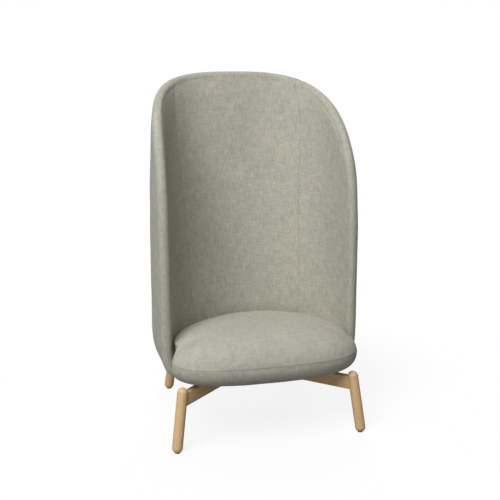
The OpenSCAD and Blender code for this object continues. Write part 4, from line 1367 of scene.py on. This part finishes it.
@once
def nylon():
    """Dark grey moulded nylon."""
    f = Finish("glide")
    place = f.solid_place()
    grain, scuff = f.noise(place, 1200, 1), f.noise(place, 60, 4, 0.7)
    return f.surface(Base_Color=f.mixed(scuff, (0.030, 0.030, 0.032), (0.075, 0.075, 0.078)),
                     Roughness=0.48 + (scuff - 0.5) * 0.3,
                     Normal=f.bump(grain, distance=0.00012, strength=0.5))


def beech():
    """Beech dowel: pale and close-grained."""
    return wood("beech", (0.72, 0.50, 0.31), (0.56, 0.36, 0.20), (0, 0, 0),
                (0, math.radians(90), 0), 0.0021)


# Woodwork and fittings

FRONT_SIDE_ANGLE = math.degrees(math.atan2(FRONT_FEET_W / 2, FRONT_FEET_D))
FRONT_REACH = math.hypot(FRONT_FEET_W / 2, FRONT_FEET_D)
REAR_REACH = REAR_FEET_W / 2 / math.sin(math.radians(FRONT_SIDE_ANGLE))


def arm_turn(side, front):
    """Turn of an arm of the base about the crossing."""
    angle = side * FRONT_SIDE_ANGLE - 90 if front else 90 - side * FRONT_SIDE_ANGLE
    return Matrix.Rotation(math.radians(angle), 3, "Z")


def eased_copy(node, name, material, arris):
    """A CAD node's shape with welded faces and eased edges."""
    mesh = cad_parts[node].data.copy()
    mesh.name = name
    made = bmesh.new()
    made.from_mesh(mesh)
    bmesh.ops.remove_doubles(made, verts=made.verts, dist=WELD_GAP * MM)
    bmesh.ops.dissolve_limit(made, angle_limit=math.radians(FLAT_ANGLE), verts=made.verts,
                             edges=made.edges)
    made.to_mesh(mesh)
    made.free()
    mesh.materials.clear()
    mesh.materials.append(material)
    mesh.polygons.foreach_set("material_index", np.zeros(len(mesh.polygons), np.int32))
    piece = placed(name, mesh)
    bevel = piece.modifiers.new("arris", "BEVEL")
    bevel.width = arris
    bevel.segments = 3
    bevel.limit_method = "ANGLE"
    bevel.angle_limit = math.radians(ARRIS_ANGLE)
    bake(piece)
    piece.data.set_sharp_from_angle(angle=math.radians(SHARP_ANGLE))
    smooth(piece.data)
    return piece


class LOUNGE_OT_woodwork(bpy.types.Operator):
    """Eases the edges of the legs and rails and oils the oak"""

    bl_idname = "lounge.woodwork"
    bl_label = "Woodwork"

    def execute(self, context):
        tones = context.scene.lounge_wood
        for side, front, node in ((-1, True, "leg_front_left"), (1, True, "leg_front_right"),
                                  (-1, False, "leg_rear_left"), (1, False, "leg_rear_right")):
            arm = arm_turn(side, front)
            reach = FRONT_REACH if front else REAR_REACH
            foot = Vector((0, CROSS_Y, LEG_D / 2)) + arm @ Vector((reach, 0, 0))
            turn = (arm @ Matrix.Rotation(math.radians(-LEG_LEAN), 3, "Y")).to_euler()
            self.dress(node, "oak_" + node, foot * MM, turn, tones)
        for side, node in ((-1, "rail_left_front"), (1, "rail_right_front")):
            turn = (arm_turn(side, True) @ Matrix.Rotation(math.radians(90), 3, "Y")).to_euler()
            middle = Vector((side * GRAIN_ASIDE, CROSS_Y, RAIL_TOP_H - RAIL_H)) * MM
            self.dress(node, "oak_" + node, middle, turn, tones)
        for node, material in (("seat_board", plywood()), ("leg_dowels", beech())):
            coat(node, material)
        return {"FINISHED"}

    def dress(self, node, name, middle, turn, tones):
        material = wood(name, tones.oak_light, tones.oak_dark, tuple(middle), tuple(turn))
        finish_piece(eased_copy(node, name, material, tones.arris), "oak", node)


class LOUNGE_OT_fittings(bpy.types.Operator):
    """Plates and primes the steel parts and moulds the glides"""

    bl_idname = "lounge.fittings"
    bl_label = "Fittings"

    def execute(self, context):
        for node in ("frame_tubes", "frame_feet"):
            coat(node, steel())
        for node in ("foot_screws", "t_nuts", "base_bolts", "bolt_washers"):
            coat(node, zinc())
        for node in ("glide_front_left", "glide_front_right", "glide_rear_left", "glide_rear_right"):
            piece = eased_copy(node, "nylon_" + node, nylon(), GLIDE_ARRIS * MM)
            finish_piece(piece, "glide", node)
        return {"FINISHED"}


# Underside

def board_outline(inset, count):
    bearing = np.linspace(-180, 180, count + 1)[:-1]
    return along_bearing(bearing, board_r(bearing) - inset, TUB_Y, 0.0)


def rail_gap(points):
    """Distance of places from the middle line of the nearest rail, seen from below."""
    along = np.array([FRONT_FEET_W / 2, FRONT_FEET_D]) / FRONT_REACH
    x, y = points[..., 0], points[..., 1] - CROSS_Y
    return np.minimum(np.abs(x * along[1] - y * along[0]), np.abs(x * along[1] + y * along[0]))


def bolt_places():
    for side in (-1, 1):
        for front in (True, False):
            yield Vector((0, CROSS_Y, 0)) + arm_turn(side, front) @ Vector((BOLT_REACH, 0, 0))


def staple_tree():
    """Sets staples along guide lines at an even spacing; gives the tree and its inputs' identifiers."""
    tree = bpy.data.node_groups.new("staples", "GeometryNodeTree")
    tree.interface.new_socket(name="Geometry", in_out="OUTPUT", socket_type="NodeSocketGeometry")
    inputs = {}
    for name, kind in (("Guides", "Geometry"), ("Spacing", "Float"), ("Width", "Float"),
                       ("Leg", "Float"), ("Wire", "Float"), ("Metal", "Material")):
        socket = tree.interface.new_socket(
            name=name, in_out="INPUT", socket_type="NodeSocket" + kind)
        inputs[name] = socket.identifier
    g = Graph(tree)
    given = g.add("NodeGroupInput")
    width, wire = given.output("Width"), given.output("Wire")
    index = g.add("GeometryNodeInputIndex")
    x = index.math("GREATER_THAN", 1.5) * width - width * 0.5
    z = abs(index - 1.5).math("GREATER_THAN", 1.0) * given.output("Leg")
    place = g.add("ShaderNodeCombineXYZ", {}, {"X": x, "Z": z})
    # A staple's four points are the foot of one leg, the ends of its crown and the other foot
    corners = g.add("GeometryNodeMeshLine", {}, {"Count": 4})
    bent = g.add("GeometryNodeSetPosition", {}, {"Geometry": corners, "Position": place})
    path = g.add("GeometryNodeMeshToCurve", {}, {"Mesh": bent})
    path = g.add("GeometryNodeFilletCurve", {"mode": "POLY"},
                 {"Curve": path, "Count": 3, "Radius": wire * 2.5})
    ring = g.add("GeometryNodeCurvePrimitiveCircle", {}, {"Resolution": 8, "Radius": wire})
    staple = g.add("GeometryNodeCurveToMesh", {},
                   {"Curve": path, "Profile Curve": ring, "Fill Caps": True})
    guides = g.add("GeometryNodeMeshToCurve", {}, {"Mesh": given.output("Guides")})
    spots = g.add("GeometryNodeResampleCurve", {"mode": "LENGTH"},
                  {"Curve": guides, "Length": given.output("Spacing")})
    turn = g.add("FunctionNodeAlignRotationToVector", {"axis": "X"},
                 {"Vector": g.add("GeometryNodeInputTangent")})
    row = g.add("GeometryNodeInstanceOnPoints", {},
                {"Points": spots, "Instance": staple, "Rotation": turn})
    solid = g.add("GeometryNodeRealizeInstances", {}, {"Geometry": row})
    shown = g.add("GeometryNodeSetMaterial", {},
                  {"Geometry": solid, "Material": given.output("Metal")})
    g.add("NodeGroupOutput", {}, {"Geometry": shown})
    return tree, inputs


class LOUNGE_OT_underside(bpy.types.Operator):
    """Stretches the dust cloth under the seat and staples it down"""

    bl_idname = "lounge.underside"
    bl_label = "Dust cloth and staples"

    def execute(self, context):
        self.stretch_sheet()
        self.drive_staples(context.scene.lounge_staples)
        return {"FINISHED"}

    def stretch_sheet(self):
        outline = board_outline(DUST_INSET, OUTLINE_STEPS)[:, :2]
        flat, faces = self.sheet_plan(outline)
        points = np.column_stack([flat, self.sheet_height(flat)])
        a, b, c = (flat[faces[:, n]] for n in range(3))
        turn = (b - a)[:, 0] * (c - a)[:, 1] - (b - a)[:, 1] * (c - a)[:, 0]
        faces[turn > 0] = faces[turn > 0][:, [0, 2, 1, 1]]
        down = np.tile((0.0, 0.0, -1.0), (len(points), 1))
        skin = closed_skin(points, down, faces, flat, SHEET_T)
        piece = mesh_object("dust_sheet", *skin, dust_cloth())
        finish_piece(piece, "dust_cloth", "dust_cover")

    def sheet_plan(self, outline):
        """Points and triangles of the flat sheet with its holes for the bolts."""
        holes = np.array([[p.x, p.y] for p in bolt_places()])

        def hole_gap(places):
            return np.linalg.norm(places[:, None] - holes, axis=-1).min(axis=1)

        turn = np.linspace(360, 0, HOLE_SIDES + 1)[:-1]
        circle = BOLT_HOLE_R * np.stack([cosd(turn), sind(turn)], -1)
        grid = np.stack(np.meshgrid(
            np.arange(-BOARD_W / 2, BOARD_W / 2, SHEET_STEP),
            np.arange(-BOARD_FRONT_D, BOARD_BACK_D, SHEET_STEP) + TUB_Y), -1).reshape(-1, 2)
        grid = grid[self.edge_gap(grid) > SHEET_STEP / 2]
        rings = [outline, *(hole + circle for hole in holes)]
        edges, start = [], 0
        for ring in rings:
            n = np.arange(len(ring))
            edges += np.stack([start + n, start + (n + 1) % len(ring)], -1).tolist()
            start += len(ring)
        flat = np.concatenate([*rings, grid[hole_gap(grid) > BOLT_HOLE_R + SHEET_STEP / 2]])
        places, _, triangles, *_ = delaunay_2d_cdt([Vector(p) for p in flat], edges, [], 1, 1e-4)
        flat = np.array([tuple(p) for p in places])
        faces = np.array([[*t, t[-1]] for t in triangles])
        in_cloth = hole_gap(flat[faces[:, :3]].mean(axis=1)) > BOLT_HOLE_R * HOLE_INNER_SHARE
        return flat, faces[in_cloth]

    def sheet_height(self, flat):
        """Height of the sheet: flat under the rails, folded at its edge and slack in between."""
        open_cloth = ease((rail_gap(flat) - RAIL_T / 2 - RAIL_CLEAR) / RAIL_FADE)
        x, y = flat[:, 0] / 1000, flat[:, 1] / 1000
        waves = 0.5 + 0.3 * np.sin(58 * x + 9 * y) + 0.2 * np.sin(71 * y - 23 * x + 1)
        gap = self.edge_gap(flat)
        fold = FOLD_T * (1 - ease((gap - FOLD_W) / FOLD_FADE))
        slack = SLACK * waves * ease((gap - FOLD_W) / SLACK_FADE)
        return RAIL_TOP_H + SHEET_GAP - open_cloth * (fold + slack)

    def edge_gap(self, places):
        """Distance of places inside the sheet from its edge, measured towards the middle."""
        x, y = places[:, 0], places[:, 1] - TUB_Y
        bearing = np.degrees(np.arctan2(x, y))
        return board_r(bearing) - DUST_INSET - np.hypot(x, y)

    def drive_staples(self, staples):
        line = board_outline(DUST_INSET + FOLD_W / 2, STAPLE_LINE_STEPS)
        line[:, 2] = RAIL_TOP_H - FOLD_T - staples.wire / MM
        free = rail_gap(line) > RAIL_T / 2 + staples.width / MM
        n = np.arange(len(line))
        after = (n + 1) % len(line)
        both = free & free[after]
        mesh = bpy.data.meshes.new("staple_guides")
        mesh.from_pydata((line * MM).tolist(), np.stack([n, after], -1)[both].tolist(), [])
        piece = placed("dust_sheet_staples", mesh)
        tree, inputs = staple_tree()
        modifier = piece.modifiers.new("staples", "NODES")
        modifier.node_group = tree
        for name, value in (("Spacing", staples.spacing), ("Width", staples.width),
                            ("Leg", staples.leg), ("Wire", staples.wire), ("Metal", zinc())):
            modifier[inputs[name]] = value
        bake(piece)
        smooth(piece.data)
        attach(piece, BODY)


# Stage

class LOUNGE_OT_stage(bpy.types.Operator):
    """Lays the pale floor and sets the camera, the soft lights and the white room"""

    bl_idname = "lounge.stage"
    bl_label = "Stage"

    def execute(self, context):
        scene, settings = context.scene, context.scene.lounge_stage
        scene.view_settings.view_transform = "Standard"
        target = Vector(CAMERA_TARGET)
        azimuth, elevation = math.radians(CAMERA_AZIMUTH), math.radians(CAMERA_ELEVATION)
        back = Vector((math.sin(azimuth) * math.cos(elevation),
                       -math.cos(azimuth) * math.cos(elevation), math.sin(elevation)))
        camera = placed("camera", bpy.data.cameras.new("camera"))
        camera.location = target + back * CAMERA_DISTANCE
        camera.rotation_euler = back.to_track_quat("Z", "Y").to_euler()
        camera.data.lens = CAMERA_LENS
        camera.data.sensor_width = CAMERA_SENSOR
        scene.camera = camera
        for name, setting, place, size, aim in LAMPS:
            self.lamp(name, getattr(settings, setting), place, size, aim)
        self.floor(settings)
        self.room(scene, settings)
        return {"FINISHED"}

    def lamp(self, name, power, place, size, aim):
        lamp = placed(name, bpy.data.lights.new(name, "AREA"))
        lamp.data.shape = "DISK"
        lamp.data.size = size
        lamp.data.energy = power
        lamp.location = place
        lamp.rotation_euler = (Vector(place) - Vector(aim)).to_track_quat("Z", "Y").to_euler()

    def floor(self, settings):
        radii = np.geomspace(FLOOR_MIDDLE_R, FLOOR_R, FLOOR_ROWS)
        turns = np.linspace(0, 2 * math.pi, FLOOR_COLUMNS + 1)[:-1]
        points = [(r * math.cos(t), r * math.sin(t), 0.0) for t in turns for r in radii]
        middle = len(points)
        faces = quads_of(FLOOR_COLUMNS, FLOOR_ROWS, closed=True).tolist()
        faces += [(n * FLOOR_ROWS, middle, (n + 1) % FLOOR_COLUMNS * FLOOR_ROWS)
                  for n in range(FLOOR_COLUMNS)]
        mesh = bpy.data.meshes.new("floor")
        mesh.from_pydata([*points, (0, 0, 0)], [], faces)
        floor = placed("floor", mesh)
        f = Finish("floor")
        place = f.solid_place((0.1, 0.1, 0))
        away = f.distance(place)
        seen = f.add("ShaderNodeLightPath").output("Is Camera Ray")
        paint = f.add("ShaderNodeBsdfDiffuse", {}, {"Color": colour(settings.floor)})
        pale = f.add("ShaderNodeBsdfDiffuse", {}, {"Color": (0.95, 0.95, 0.95, 1)})
        white = f.add("ShaderNodeEmission", {}, {"Color": (1, 1, 1, 1), "Strength": 1.0})
        shown = away.between(0.45, 1.2) * (1 - settings.veil) + settings.veil
        open_floor = f.add("ShaderNodeMixShader", {}, {0: shown, 1: pale, 2: white})
        blend = f.add("ShaderNodeMixShader", {}, {0: seen, 1: paint, 2: open_floor})
        f.add("ShaderNodeOutputMaterial", {}, {"Surface": blend})
        mesh.materials.append(f.material)

    def room(self, scene, settings):
        world = bpy.data.worlds.new("room")
        scene.world = world
        world.use_nodes = True
        g = Graph(world.node_tree)
        path = g.add("ShaderNodeLightPath")
        seen = path.output("Is Camera Ray").math("MAXIMUM", path.output("Is Glossy Ray"))
        seen = seen.math("MAXIMUM", path.output("Is Transmission Ray"))
        light = g.add("ShaderNodeBackground", {},
                      {"Color": (0.97, 0.985, 1.0, 1), "Strength": settings.ambient})
        white = g.add("ShaderNodeBackground", {}, {"Color": (1, 1, 1, 1), "Strength": 1.0})
        blend = g.add("ShaderNodeMixShader", {}, {0: seen, 1: light, 2: white})
        g.add("ShaderNodeOutputWorld", {}, {"Surface": blend})


# Panel and start

OPERATORS = (
    LOUNGE_OT_inner_covers, LOUNGE_OT_outer_cover, LOUNGE_OT_shell_core, LOUNGE_OT_seat,
    LOUNGE_OT_woodwork, LOUNGE_OT_fittings, LOUNGE_OT_underside, LOUNGE_OT_stage,
)
SETTINGS = {
    "lounge_cloth": ClothSettings, "lounge_seam": SeamSettings, "lounge_cushion": CushionSettings,
    "lounge_wood": WoodSettings, "lounge_staples": StapleSettings, "lounge_stage": StageSettings,
}


class LOUNGE_PT_chair(bpy.types.Panel):
    """Pieces of the chair and their settings"""

    bl_idname = "LOUNGE_PT_chair"
    bl_label = "Lounge chair"
    bl_space_type = "VIEW_3D"
    bl_region_type = "UI"
    bl_category = "Lounge Chair"

    def draw(self, context):
        for name, group in SETTINGS.items():
            box = self.layout.box()
            box.label(text=group.__doc__)
            for prop in group.__annotations__:
                box.prop(getattr(context.scene, name), prop)
        for operator in OPERATORS:
            self.layout.operator(operator.bl_idname)


def register():
    for group in SETTINGS.values():
        bpy.utils.register_class(group)
    for name, group in SETTINGS.items():
        setattr(bpy.types.Scene, name, PointerProperty(type=group))
    for part in (*OPERATORS, LOUNGE_PT_chair):
        bpy.utils.register_class(part)


def unregister():
    for part in (LOUNGE_PT_chair, *reversed(OPERATORS)):
        bpy.utils.unregister_class(part)
    for name in SETTINGS:
        delattr(bpy.types.Scene, name)
    for group in SETTINGS.values():
        bpy.utils.unregister_class(group)


def main():
    """Registers the add-on and makes every piece."""
    register()
    for operator in OPERATORS:
        group, name = operator.bl_idname.split(".")
        getattr(getattr(bpy.ops, group), name)()


if __name__ == "__main__":
    main()
